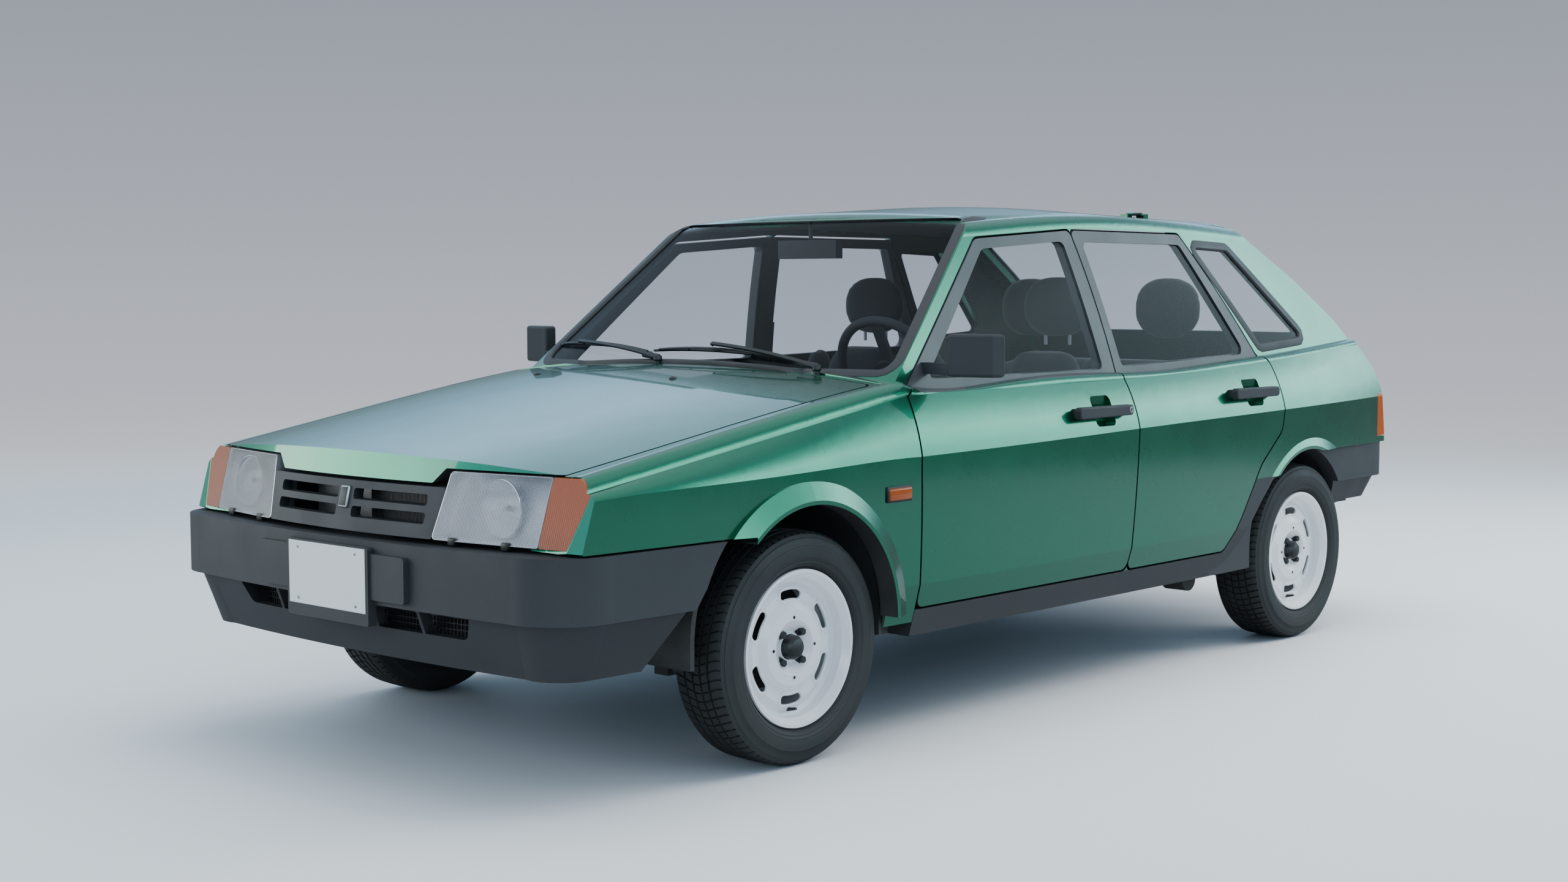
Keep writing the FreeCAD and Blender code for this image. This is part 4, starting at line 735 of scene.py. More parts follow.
@dataclass
class Skin:
    """A panel of the body that wears more than one finish, by where its faces lie."""

    node: str
    body: str
    finishes: tuple[Finish, ...]
    choose: Callable[[Vector, Vector], int]

    def build(self) -> None:
        """Copies the panel's mesh with its smooth normals and gives each face its finish."""
        mesh = frame["nodes"][self.node].data.copy()
        mesh.name = f"{self.node}_skin"
        mesh.materials.clear()
        for finish in self.finishes:
            mesh.materials.append(finish.material())
        for polygon in mesh.polygons:
            polygon.material_index = self.choose(polygon.center, polygon.normal)
        seated(mesh, mesh.name, self.body, (self.node,))


@dataclass
class BodyShell:
    """The painted panels with their dark frames, linings and arches."""

    belt: tuple[tuple[float, float], ...] = ((0.43, 0.915), (0.50, 0.888), (0.66, 0.888), (0.80, 0.905),
                                             (1.45, 0.909), (2.00, 0.922), (2.35, 0.937))
    belt_lap: float = 0.002
    pillar_along: tuple[float, float] = (1.32, 1.475)
    pillar_up: tuple[float, float] = (0.345, 1.315)
    quarter_along: tuple[float, float] = (2.0, 2.64)
    quarter_up: tuple[float, float] = (0.955, 1.30)
    arch_reach: float = 0.004
    front_arch: tuple[float, float, float] = (0.005, 0.330, 0.312)
    rear_arch: tuple[float, float, float] = (2.455, 0.322, 0.306)
    inward: float = -0.35
    arch_edge_on: float = 0.5
    window_edge_on: float = 0.2
    sill_down: float = -0.75
    gate_down: float = -0.5

    def build(self) -> None:
        """Dresses every panel that shows two finishes or more."""
        for side in SIDES:
            for end in ENDS:
                Skin(f"door_{end}_{side}", f"{end}_door_{side}", (PAINT, CABIN, FRAME), self._door).build()
        Skin("side_frames", "body", (PAINT, CABIN, UNDER, FRAME), self._side).build()
        Skin("front_wings", "body", (PAINT, UNDER), self._wing).build()
        Skin("roof_panel", "body", (PAINT, LINING), self._lid).build()
        Skin("tailgate", "tailgate", (PAINT, CABIN), self._tailgate).build()
        Skin("bonnet", "bonnet", (PAINT, UNDER), self._lid).build()

    def _turned_in(self, middle: Vector, normal: Vector) -> bool:
        """Tells whether a face looks towards the car's middle."""
        return normal.x * math.copysign(1.0, middle.x) < self.inward

    def _in_arch(self, middle: Vector, normal: Vector) -> bool:
        """Tells whether a face lines a wheel arch."""
        for offset, height, radius in (self.front_arch, self.rear_arch):
            way = Vector((0.0, middle.y - aft(offset), middle.z - height))
            if middle.z < height:
                way.z = 0.0
            if way.length < radius + self.arch_reach and abs(normal.x) < self.arch_edge_on:
                return True
        return False

    def _door(self, middle: Vector, normal: Vector) -> int:
        """Returns the finish of a door's face: paint, lining or window frame."""
        if middle.z > on_line(self.belt, middle.y - FRONT_AXLE) + self.belt_lap:
            return 2
        return 1 if self._turned_in(middle, normal) else 0

    def _side(self, middle: Vector, normal: Vector) -> int:
        """Returns the finish of a side frame's face: paint, lining, arch or pillar."""
        offset = middle.y - FRONT_AXLE
        if self._in_arch(middle, normal):
            return 2
        if self._turned_in(middle, normal):
            return 1
        if within(offset, self.pillar_along) and within(middle.z, self.pillar_up):
            return 3
        in_window = within(middle.z, self.quarter_up) and within(offset, self.quarter_along)
        edge_on = abs(normal.x) < self.window_edge_on and normal.z > self.sill_down
        return 3 if in_window and edge_on else 0

    def _wing(self, middle: Vector, normal: Vector) -> int:
        """Returns the finish of a wing's face: paint or under-body coat."""
        return 1 if self._turned_in(middle, normal) or self._in_arch(middle, normal) else 0

    def _lid(self, _: Vector, normal: Vector) -> int:
        """Returns the finish of the roof's or the bonnet's face: paint, or its lining where it looks down."""
        return 1 if normal.z < self.inward else 0

    def _tailgate(self, _: Vector, normal: Vector) -> int:
        """Returns the finish of the tailgate's face: paint, or lining where it looks forwards or down."""
        return 1 if normal.y < self.inward or normal.z < self.gate_down else 0


@dataclass
class WindowSeals:
    """Rubber strips round the fixed panes."""

    inside: float = 0.012
    outside: float = 0.019
    rise: float = 0.0072
    sink: float = 0.003
    step: float = 0.018
    panes: tuple[tuple[str, str, tuple[float, float, float]], ...] = (
        ("windscreen", "body", (0.0, -0.64, 0.77)), ("tailgate_glass", "tailgate", (0.0, 0.8, 0.6)),
        ("quarter_windows", "body", (1.0, 0.0, 0.0)))

    def build(self) -> None:
        """Makes a strip round each fixed pane."""
        for node, body, out in self.panes:
            strip = swept(outer_rim(node, out, self.step), self._section(), closed=True)
            if out[0]:
                strip = gathered(pair(strip))
            emit(strip, f"{node}_rubber", (SEAL,), body)

    def _section(self) -> list[tuple[float, float]]:
        """Returns the section of the strip, as (across, out) from the pane's border."""
        return [(-self.inside, -self.sink), (-self.inside, 0.001), (-self.inside + 0.002, self.rise * 0.7),
                (-self.inside + 0.005, self.rise), (self.outside - 0.005, self.rise),
                (self.outside - 0.001, self.rise * 0.8), (self.outside, self.rise * 0.4),
                (self.outside, -self.sink)]


# Wheels

@dataclass
class Tyre:
    """A road tyre with ribs on its flanks and a tread of grooved blocks."""

    pitches: int = 78
    block_share: float = 0.8
    slant: float = 0.075
    crown: float = 0.288
    crown_drop: float = 0.002
    tread_half: float = 0.064
    groove_depth: float = 0.0062
    cut_depth: float = 0.0045
    grooves: tuple[float, ...] = (0.0125, 0.0385)
    groove_half: float = 0.0032
    flank_out: float = 0.0882
    flank_radius: float = 0.236
    flank_curve: float = 8.79
    groove_foot: float = 0.8
    pockets: tuple[tuple[float, float], ...] = ((0.0, 0.0095), (0.0160, 0.0355), (0.0420, 0.0640),
                                                (0.0640, 0.0746))
    shoulder: float = 0.278
    flat_side: float = 0.95
    cut_lip: float = 0.0004
    cut_slack: float = 1.3

    def _flank(self, radius: float, proud: float = 0.0) -> tuple[float, float]:
        """Returns the flank's place at a radius."""
        return self.flank_out - self.flank_curve * (radius - self.flank_radius) ** 2 + proud, radius

    def _crown_at(self, along: float, deep: float = 0.0) -> tuple[float, float]:
        """Returns the tread's place at a distance from its middle."""
        return along, self.crown - self.crown_drop * (along / self.tread_half) ** 2 - deep

    def _half(self) -> list[tuple[float, float]]:
        """Returns the section from the bead to the middle of the tread."""
        flank = self._flank
        points = [(0.056, 0.1783), (0.0645, 0.1845), (0.069, 0.198), (0.0785, 0.2035), flank(0.2075, 0.0012),
                  flank(0.2115, 0.0012), flank(0.213), flank(0.2205), flank(0.2215, -0.0008), flank(0.2225),
                  flank(0.236), flank(0.2455), flank(0.2465, 0.0008), flank(0.2500, 0.0008), flank(0.251),
                  flank(0.2615), (0.0806, 0.2700), (0.0790, 0.2708), (0.0792, 0.2722), (0.0746, 0.2800),
                  (0.0640, 0.2860)]
        for middle in reversed(self.grooves):
            foot = self.groove_half * self.groove_foot
            points += [self._crown_at(middle + self.groove_half),
                       self._crown_at(middle + foot, self.groove_depth),
                       self._crown_at(middle - foot, self.groove_depth),
                       self._crown_at(middle - self.groove_half)]
        return points

    def shape(self) -> bmesh.types.BMesh:
        """Returns the tyre about the X axis through the origin, its shown side towards +X."""
        half = self._half()
        section = half + [(-along, radius) for along, radius in reversed(half)]
        shape = spun(section, self.pitches * 2, closed=True)
        self._space(shape)
        self._cut(shape)
        return shape

    def _space(self, shape: bmesh.types.BMesh) -> None:
        """Widens the blocks, narrows the cuts between them and slants both."""
        pitch = math.tau / self.pitches
        for vert in shape.verts:
            angle = math.atan2(vert.co.y, vert.co.z) % math.tau
            half_steps = round(angle / (pitch / 2))
            turned = (half_steps // 2 + (self.block_share if half_steps % 2 else 0.0)) * pitch
            turned += self.slant * min(abs(vert.co.x), self.tread_half) / self.tread_half
            radius = math.hypot(vert.co.y, vert.co.z)
            vert.co.y = radius * math.sin(turned)
            vert.co.z = radius * math.cos(turned)

    def _cut(self, shape: bmesh.types.BMesh) -> None:
        """Sinks the narrow columns of the tread between the grooves."""
        shape.normal_update()
        narrow = math.tau / self.pitches * (1 - self.block_share) * self.crown * self.cut_slack
        faces = []
        for face in shape.faces:
            middle = face.calc_center_median()
            if math.hypot(middle.y, middle.z) < self.shoulder:
                continue
            sideways = face.normal.x * math.copysign(1.0, middle.x) > self.flat_side
            if sideways or not self._in_pocket(abs(middle.x)):
                continue
            spread = max((edge.verts[0].co - edge.verts[1].co).length for edge in face.edges
                         if abs(edge.verts[0].co.x - edge.verts[1].co.x) < self.cut_lip)
            if spread < narrow:
                faces.append(face)
        bmesh.ops.inset_individual(shape, faces=faces, thickness=self.cut_lip, depth=-self.cut_depth)

    def _in_pocket(self, along: float) -> bool:
        """Tells whether a place across the tread lies in a strip with cuts."""
        return any(low <= along <= high for low, high in self.pockets)


@dataclass
class WheelFittings:
    """What sits on a wheel's disc: raised slot rims, bolts, centre cap and valve."""

    slots: int = 6
    slot_inner: float = 0.1155
    slot_outer: float = 0.1455
    slot_half_angle: float = 0.2
    slot_sink: float = 0.0005
    disc: tuple[tuple[float, float], ...] = ((0.114, 0.041), (0.138, 0.043), (0.158, 0.032))
    bolts: int = 4
    bolt_circle: float = 0.049
    bolt_radius: float = 0.0095
    bolt_stand: tuple[float, float] = (0.045, 0.0555)
    bolt_rounding: float = 0.0012
    washer_radii: tuple[float, float] = (0.0125, 0.0108)
    washer_stand: tuple[float, float] = (0.036, 0.0455)
    cap_radius: float = 0.0298
    hole_circle: float = 0.074
    hole_radius: float = 0.0042
    hole_stand: tuple[float, float] = (0.0530, 0.0552)
    valve_foot: tuple[float, float, float] = (0.030, 0.0, -0.1565)
    valve_tip: tuple[float, float, float] = (0.060, 0.0, -0.1505)
    valve_radii: tuple[float, float] = (0.0048, 0.0036)

    def shape(self) -> bmesh.types.BMesh:
        """Returns the fittings about the X axis through the origin."""
        parts = [(self._slot_rim(math.tau / 4 + index * math.tau / self.slots), 0)
                 for index in range(self.slots)]
        cap = spun([(0.030, self.cap_radius), (0.056, self.cap_radius), (0.060, self.cap_radius - 0.002),
                    (0.0665, 0.022), (0.0695, 0.012), (0.0705, 0.0)], 32)
        collar = spun([(0.036, 0.0305), (0.0395, 0.0318), (0.0395, 0.0375), (0.034, 0.0390)], 32)
        parts += [(cap, 1), (collar, 0)]
        for index in range(self.bolts):
            angle = math.tau * (index + 0.5) / self.bolts
            spot = self._spoke(angle) * self.bolt_circle
            washer = self._peg(spot, self.washer_stand, *self.washer_radii, steps=24)
            head = self._peg(spot, self.bolt_stand, self.bolt_radius, steps=6)
            soften(head, self.bolt_rounding, 1)
            spot = self._spoke(angle + math.tau / 8) * self.hole_circle
            parts += [(washer, 1), (head, 1), (self._peg(spot, self.hole_stand, self.hole_radius), 1)]
        parts.append((bar(self.valve_foot, self.valve_tip, *self.valve_radii), 1))
        return gathered(parts)

    def _spoke(self, angle: float) -> Vector:
        """Returns the direction from the hub at an angle."""
        return Vector((0.0, math.cos(angle), math.sin(angle)))

    def _peg(self, spot: Vector, stand: tuple[float, float], radius: float, far_radius: float | None = None,
             steps: int = 16) -> bmesh.types.BMesh:
        """Returns a round peg that stands out of the disc.

        Args:
            spot: its place in the wheel's plane.
            stand: how far out it begins and ends.
            radius: its radius at the foot.
            far_radius: its radius at the tip, if it differs.
            steps: facets round it.

        Returns:
            The peg.
        """
        foot, tip = (spot + Vector((along, 0.0, 0.0)) for along in stand)
        return bar(foot, tip, radius, far_radius, steps)

    def _slot_rim(self, angle: float) -> bmesh.types.BMesh:
        """Returns the raised rim round one slot."""
        middle = (self.slot_inner + self.slot_outer) / 2
        half = (self.slot_outer - self.slot_inner) / 2
        path = []
        for sense, radius in ((1, self.slot_outer), (-1, self.slot_inner)):
            for step in range(7):
                turn = angle + sense * self.slot_half_angle * (step / 3 - 1)
                path.append((turn, radius, 0.0))
            for step in range(1, 5):
                around = math.pi * step / 5
                path.append((angle + sense * self.slot_half_angle, middle + sense * half * math.cos(around),
                             sense * half * math.sin(around)))
        points = []
        for turn, radius, shift in path:
            spot = self._spoke(turn) * radius + Vector((0.0, -math.sin(turn), math.cos(turn))) * shift
            spot.x = on_line(self.disc, math.hypot(spot.y, spot.z)) - self.slot_sink
            points.append((spot, Vector((1.0, 0.0, 0.0))))
        return swept(points, [(-0.0045, -0.002), (-0.0038, 0.0016), (-0.0014, 0.0034), (0.0014, 0.0034),
                              (0.0038, 0.0016), (0.0045, -0.002)], closed=True)


@dataclass
class WheelSet:
    """The four tyres and the fittings of the four wheels."""

    plane: float = 0.696

    def build(self) -> None:
        """Places a copy of the tyre and of the fittings at each hub."""
        tyre = Tyre().shape()
        fittings = WheelFittings().shape()
        for side, sense in SIDES.items():
            for end, axle in ENDS.items():
                place = Matrix.Translation((sense * self.plane, axle, HUB_HEIGHT))
                place = place @ Matrix.Rotation(0.0 if sense > 0 else math.pi, 4, "Z")
                body = f"wheel_{end}_{side}"
                for shape, name, finishes, node in (
                        (tyre, "treaded_tyre", (RUBBER,), (f"tyre_{end}_{side}",)),
                        (fittings, "wheel_fittings", (WHEEL, TRIM), ())):
                    copy = shape.copy()
                    bmesh.ops.transform(copy, matrix=place, verts=copy.verts[:])
                    emit(copy, f"{name}_{end}_{side}", finishes, body, 28.0, node)
        tyre.free()
        fittings.free()


# Lamps and nose

@dataclass
class Headlamps:
    """Clear fluted lenses over bright housings, with a bowl reflector each."""

    lens_wall: float = 0.003
    housing_wall: float = 0.0015
    facing: float = -0.5
    bowl_x: float = 0.500
    bowl_z: float = 0.668
    bowl_radius: float = 0.066
    bowl_depth: float = 0.044
    bowl_mouth: float = aft(-0.706)
    bowl_steps: int = 12
    bulb_from_mouth: float = 0.016
    bulb_radii: tuple[float, float] = (0.0075, 0.006)
    clips: tuple[tuple[float, float], ...] = ((0.385, -0.7585), (0.546, -0.7360))
    clip_half: float = 0.012
    clip_along: tuple[float, float] = (-0.004, 0.012)
    clip_up: tuple[float, float] = (0.580, 0.5975)
    clip_rounding: float = 0.003

    def build(self) -> None:
        """Makes the lens, the housing with its bowl, and the clips of both lamps."""
        whole = joined("headlamps")
        lens = parted(whole, lambda face: face.normal.y < self.facing)
        bmesh.ops.solidify(lens, geom=lens.faces[:], thickness=self.lens_wall)
        emit(lens, "headlamp_lenses", (LENS,), "body", 30.0, ("headlamps",))
        housing = parted(whole, lambda face: face.normal.y >= self.facing)
        bmesh.ops.solidify(housing, geom=housing.faces[:], thickness=self.housing_wall)
        whole.free()
        bulb = bar((self.bowl_x, self.bowl_mouth + self.bowl_depth, self.bowl_z),
                   (self.bowl_x, self.bowl_mouth + self.bulb_from_mouth, self.bowl_z), *self.bulb_radii)
        emit(gathered([(housing, 0), *pair(self._bowl()), *pair(bulb, 1)]), "headlamp_housings",
             (REFLECTOR, STEEL), "body", 30.0)
        emit(self._clips(), "headlamp_clips", (TRIM,), "body")

    def _bowl(self) -> bmesh.types.BMesh:
        """Returns the left lamp's bowl, open to the front."""
        steps = self.bowl_steps
        inner = [(self.bowl_depth * (step / steps) ** 2, self.bowl_radius * step / steps)
                 for step in range(steps + 1)]
        wall = self.housing_wall
        outer = [(along - wall, radius + wall) for along, radius in reversed(inner[1:])] + [(-wall, 0.0)]
        return faced(spun(inner + outer, 40), (self.bowl_x, self.bowl_mouth + self.bowl_depth, self.bowl_z),
                     (0.0, -1.0, 0.0))

    def _clips(self) -> bmesh.types.BMesh:
        """Returns the clips that hold the lenses at their lower edge."""
        parts = []
        for x, offset in self.clips:
            low = (x - self.clip_half, aft(offset) + self.clip_along[0], self.clip_up[0])
            high = (x + self.clip_half, aft(offset) + self.clip_along[1], self.clip_up[1])
            parts += pair(brick(low, high, self.clip_rounding))
        return gathered(parts)


@dataclass
class TailLamps:
    """Rear lamps with an amber outer lens, a red middle and a pale inner lens."""

    amber_from: float = 0.716
    pale_to: float = 0.612

    def build(self) -> None:
        """Splits the lamps across and dresses each strip."""
        shape = joined("tail_lamps")
        for place in (-self.amber_from, -self.pale_to, self.pale_to, self.amber_from):
            bmesh.ops.bisect_plane(shape, geom=shape.verts[:] + shape.edges[:] + shape.faces[:],
                                   plane_co=(place, 0.0, 0.0), plane_no=(1.0, 0.0, 0.0), dist=MERGE)
        for face in shape.faces:
            across = abs(face.calc_center_median().x)
            face.material_index = 1 if across > self.amber_from else 2 if across < self.pale_to else 0
        emit(shape, "tail_lamp_lenses", (RED, AMBER, PALE), "body", 30.0, ("tail_lamps",))


@dataclass
class Nose:
    """Fins behind the grille's left half, a screen behind the lower intake, and the bare badge holder."""

    bend: float = 0.085
    bow_width: float = 0.75
    fins_front: float = aft(-0.722)
    fins_across: tuple[float, float] = (0.034, 0.292)
    fins_up: tuple[float, float] = (0.612, 0.698)
    fin_depth: float = 0.016
    fin_pitch: float = 0.0046
    fin_thick: float = 0.0013
    rails_across: tuple[float, float] = (0.030, 0.294)
    rails_up: tuple[float, float] = (0.612, 0.697)
    rail_back: float = aft(-0.682)
    rail_thick: float = 0.003
    screen_front: float = aft(-0.742)
    screen_half: float = 0.425
    screen_bow: float = 0.030
    screen_up: tuple[float, float] = (0.364, 0.428)
    screen_bars: int = 74
    screen_wires: tuple[float, ...] = (0.378, 0.392, 0.406, 0.420)
    wire_steps: int = 12
    wire_half: float = 0.0012
    bar_depth: float = 0.004
    lean: float = 0.227
    badge_half: tuple[float, float] = (0.0165, 0.027)
    badge_place: tuple[float, float, float] = (0.0, aft(-0.7742), 0.668)
    badge_depth: tuple[float, float] = (-0.004, 0.006)
    badge_rounding: float = 0.0035
    badge_rim: float = 0.004
    panel_front: float = -0.0052
    panel_rounding: float = 0.0016

    def build(self) -> None:
        """Makes the fins, the intake screen and the holder."""
        emit(self._fins(), "cooling_fins", (METAL,), "body")
        emit(self._screen(), "intake_screen", (TRIM,), "body")
        emit(self._badge(), "badge_holder", (STEEL, TRIM), "body")

    def _fins(self) -> bmesh.types.BMesh:
        """Returns the upright fins between their two rails."""
        parts = []
        start, end = self.fins_across
        low, high = self.fins_up
        for index in range(int((end - start) / self.fin_pitch)):
            x = start + index * self.fin_pitch
            y = self.fins_front + self.bend * (x / self.bow_width) ** 1.5
            parts.append((brick((x, y, low), (x + self.fin_thick, y + self.fin_depth, high)), 0))
        start, end = self.rails_across
        for z in self.rails_up:
            parts.append((brick((start, self.fins_front, z), (end, self.rail_back, z + self.rail_thick)), 0))
        return gathered(parts)

    def _on_screen(self, share: float) -> tuple[float, float]:
        """Returns the bowed screen's place across and along at a share of its width."""
        x = self.screen_half * (2 * share - 1)
        return x, self.screen_front + self.screen_bow * (x / self.screen_half) ** 2

    def _screen(self) -> bmesh.types.BMesh:
        """Returns the screen of upright bars and level wires."""
        parts = []
        low, high = self.screen_up
        for index in range(self.screen_bars + 1):
            x, y = self._on_screen(index / self.screen_bars)
            high_corner = (x + self.wire_half, y + self.bar_depth, high)
            parts.append((brick((x - self.wire_half, y, low), high_corner), 0))
        for z in self.screen_wires:
            path = [(Vector((*self._on_screen(step / self.wire_steps), z)), Vector((0.0, -1.0, 0.0)))
                    for step in range(self.wire_steps + 1)]
            parts.append((swept(path, keystone(self.wire_half, -0.003, self.wire_half, 0.001)), 0))
        return gathered(parts)

    def _badge(self) -> bmesh.types.BMesh:
        """Returns the bare holder: a bright rim round a plain dark panel."""
        half, tall = self.badge_half
        near, far = self.badge_depth
        rim = brick((-half, near, -tall), (half, far, tall), self.badge_rounding, 3)
        half -= self.badge_rim
        tall -= self.badge_rim
        panel = brick((-half, self.panel_front, -tall), (half, 0.0, tall), self.panel_rounding)
        return turned(gathered([(rim, 0), (panel, 1)]), -self.lean, "X", self.badge_place)


@dataclass
class Plates:
    """Blank number plates with a raised border and four screws each."""

    half: float = 0.1525
    front: tuple[float, float, float] = (-2.0053, 0.406, 0.558)
    rear: tuple[float, float, float] = (2.0053, 0.430, 0.582)
    thick: float = 0.0012
    depth: float = 0.002
    border: tuple[tuple[float, float], ...] = ((0.0035, 0.0), (0.0012, 0.0005), (0.0022, 0.0),
                                               (0.0012, -0.0005))
    screw: tuple[tuple[float, float], ...] = ((0.0, 0.0045), (0.0004, 0.0044), (0.0007, 0.0030),
                                              (0.0008, 0.0))
    screw_across: float = 0.115
    screw_in: float = 0.014

    def build(self) -> None:
        """Makes both plates in the place of the CAD plates."""
        parts = []
        for face, low, high in (self.front, self.rear):
            sense = math.copysign(1.0, face)
            back = face - sense * self.depth
            shown = back + sense * self.thick
            plate = brick((-self.half, min(back, shown), low), (self.half, max(back, shown), high))
            shown_face = next(item for item in plate.faces if item.normal.y * sense > 0.5)
            for width, rise in self.border:
                bmesh.ops.inset_region(plate, faces=[shown_face], thickness=width, depth=rise)
            parts.append((plate, 0))
            for x in (-self.screw_across, self.screw_across):
                for z in (low + self.screw_in, high - self.screw_in):
                    parts.append((faced(spun(self.screw, 20), (x, shown, z), (0.0, sense, 0.0)), 1))
        emit(gathered(parts), "blank_plates", (PLATE, STEEL), "body", 30.0, ("number_plates",))


@dataclass
class SideRepeaters:
    """Small amber lamps on the front wings, each in a dark frame."""

    low: tuple[float, float, float] = (0.797, aft(0.288), 0.622)
    high: tuple[float, float, float] = (0.8085, aft(0.386), 0.663)
    lens_proud: float = 0.0045
    lip: float = 0.005

    def build(self) -> None:
        """Makes the lamp of each wing."""
        low, high = Vector(self.low), Vector(self.high)
        edge = Vector((0.0, self.lip, self.lip))
        frame_part = brick(low, high, 0.003)
        lens = brick(low + edge, high - edge + Vector((self.lens_proud, 0.0, 0.0)), 0.0045, 3)
        emit(gathered(pair(frame_part, 1) + pair(lens)), "side_repeaters", (AMBER, TRIM), "body")


# Fittings of the doors, the bonnet and the windscreen

@dataclass
class DoorFittings:
    """Mirror glasses and locks of the front doors."""

    glass_centre: tuple[float, float, float] = (0.865, aft(0.6050), 0.986)
    glass_half: tuple[float, float, float] = (0.057, 0.0015, 0.043)
    glass_turn: float = 0.160
    glass_rounding: float = 0.0012
    lock_place: tuple[float, float, float] = (0.8275, aft(1.3615), 0.808)
    lock_ring: tuple[tuple[float, float], ...] = ((-0.001, 0.0098), (0.0014, 0.0096), (0.0018, 0.0085),
                                                  (0.0018, 0.0066), (0.0010, 0.0060), (0.0010, 0.0))
    keyhole: tuple[float, float, float] = (0.0012, 0.0008, 0.0045)

    def build(self) -> None:
        """Makes the fittings of both front doors."""
        half = Vector(self.glass_half)
        glass = turned(brick(-half, half, self.glass_rounding), self.glass_turn, "Z", self.glass_centre)
        lock = faced(spun(self.lock_ring, 28), self.lock_place, (1.0, 0.0, 0.0))
        place = Vector(self.lock_place)
        deep, narrow, tall = self.keyhole
        slot = brick(place - Vector((0.0, narrow, tall)), place + Vector((deep, narrow, tall)))
        left = gathered([(glass, 0), (lock, 1), (slot, 2)])
        finishes = (MIRROR, STEEL, TRIM)
        emit(opposite(left), "front_door_fittings_right", finishes, "front_door_right")
        emit(left, "front_door_fittings_left", finishes, "front_door_left")


@dataclass
class SurfaceFinder:
    """Finds the height of a CAD node's surface from above."""

    node: str

    def __post_init__(self) -> None:
        """Reads the node's mesh once."""
        shape = joined(self.node)
        self.tree = BVHTree.FromBMesh(shape)
        shape.free()

    def at(self, x: float, y: float, above: float = 0.0) -> tuple[Vector, Vector]:
        """Finds the surface below a place.

        Args:
            x: the place across.
            y: the place along.
            above: how far off the surface the point is wanted.

        Returns:
            The point and the surface's direction.
        """
        point, normal = self.tree.ray_cast(Vector((x, y, BEYOND)), Vector((0.0, 0.0, -1.0)))[:2]
        return point + normal * above, normal


@dataclass
class Wiper:
    """One windscreen wiper: boss, sprung arm and framed blade."""

    pivot: tuple[float, float, float]
    elbow: tuple[float, float]
    blade_ends: tuple[tuple[float, float], tuple[float, float]]
    boss: tuple[tuple[float, float], ...] = ((-0.062, 0.0095), (-0.010, 0.0095), (-0.006, 0.0125),
                                             (0.002, 0.0125), (0.006, 0.0100), (0.008, 0.0))
    arm_root: float = 0.002
    arm_off: float = 0.019
    arm_steps: int = 12
    arm_bow: tuple[float, float, float] = (0.0, -0.006, 0.008)
    head_back: float = 0.004
    head_share: float = 0.17
    head_rounding: float = 0.002
    hook_radius: float = 0.0035
    blade_off: float = 0.010
    blade_steps: int = 24
    rubber_off: float = 0.0045
    frame_off: float = 0.0080
    frame_bow: float = 0.006
    yokes: tuple[float, ...] = (0.05, 0.27, 0.73, 0.95)
    yoke_off: float = 0.005
    yoke_rise: float = 0.004
    yoke_radius: float = 0.0036

    def shape(self, glass: SurfaceFinder) -> bmesh.types.BMesh:
        """Returns the wiper as it rests on the glass."""
        boss = faced(spun(self.boss, 24), self.pivot, (0.0, 0.0, 1.0))
        elbow, out = glass.at(*self.elbow, self.arm_off)
        start = Vector(self.pivot) + Vector((0.0, 0.0, self.arm_root))
        path = []
        for step in range(self.arm_steps + 1):
            share = step / self.arm_steps
            path.append((start.lerp(elbow, share) + Vector(self.arm_bow) * math.sin(share * math.pi), out))
        arm = swept(path, keystone(0.0055, -0.003, 0.0050, 0.003))
        head_ends = (start + Vector((self.head_back, 0.0, 0.0)), start.lerp(elbow, self.head_share))
        head = swept([(point, out) for point in head_ends], keystone(0.0095, -0.005, 0.0075, 0.005))
        soften(head, self.head_rounding, 2)
        hook = bar(elbow, glass.at(*self.elbow, self.blade_off)[0], self.hook_radius, steps=10)
        return gathered([(boss, 0), (arm, 0), (head, 0), (hook, 0), *self._blade(glass)])

    def _on_blade(self, glass: SurfaceFinder, share: float, above: float) -> tuple[Vector, Vector]:
        """Returns a point above the glass at a share of the blade, and the glass's direction there."""
        (x0, y0), (x1, y1) = self.blade_ends
        return glass.at(x0 + (x1 - x0) * share, y0 + (y1 - y0) * share, above)

    def _blade(self, glass: SurfaceFinder) -> list[tuple[bmesh.types.BMesh, int]]:
        """Returns the rubber, the bowed frame above it and the yokes between them."""
        shares = [step / self.blade_steps for step in range(self.blade_steps + 1)]
        rubber = [self._on_blade(glass, share, self.rubber_off) for share in shares]
        arch = [self._on_blade(glass, share, self.frame_off + self.frame_bow * math.sin(share * math.pi))
                for share in shares[1:-1]]
        parts = [(swept(rubber, keystone(0.0012, -0.004, 0.0030, 0.002)), 0),
                 (swept(arch, keystone(0.0040, -0.0012, 0.0030, 0.0014)), 0)]
        for share in self.yokes:
            low, out = self._on_blade(glass, share, self.yoke_off)
            high = low + out * (self.yoke_rise + self.frame_bow * math.sin(share * math.pi))
            parts.append((bar(low, high, self.yoke_radius, steps=10), 0))
        return parts


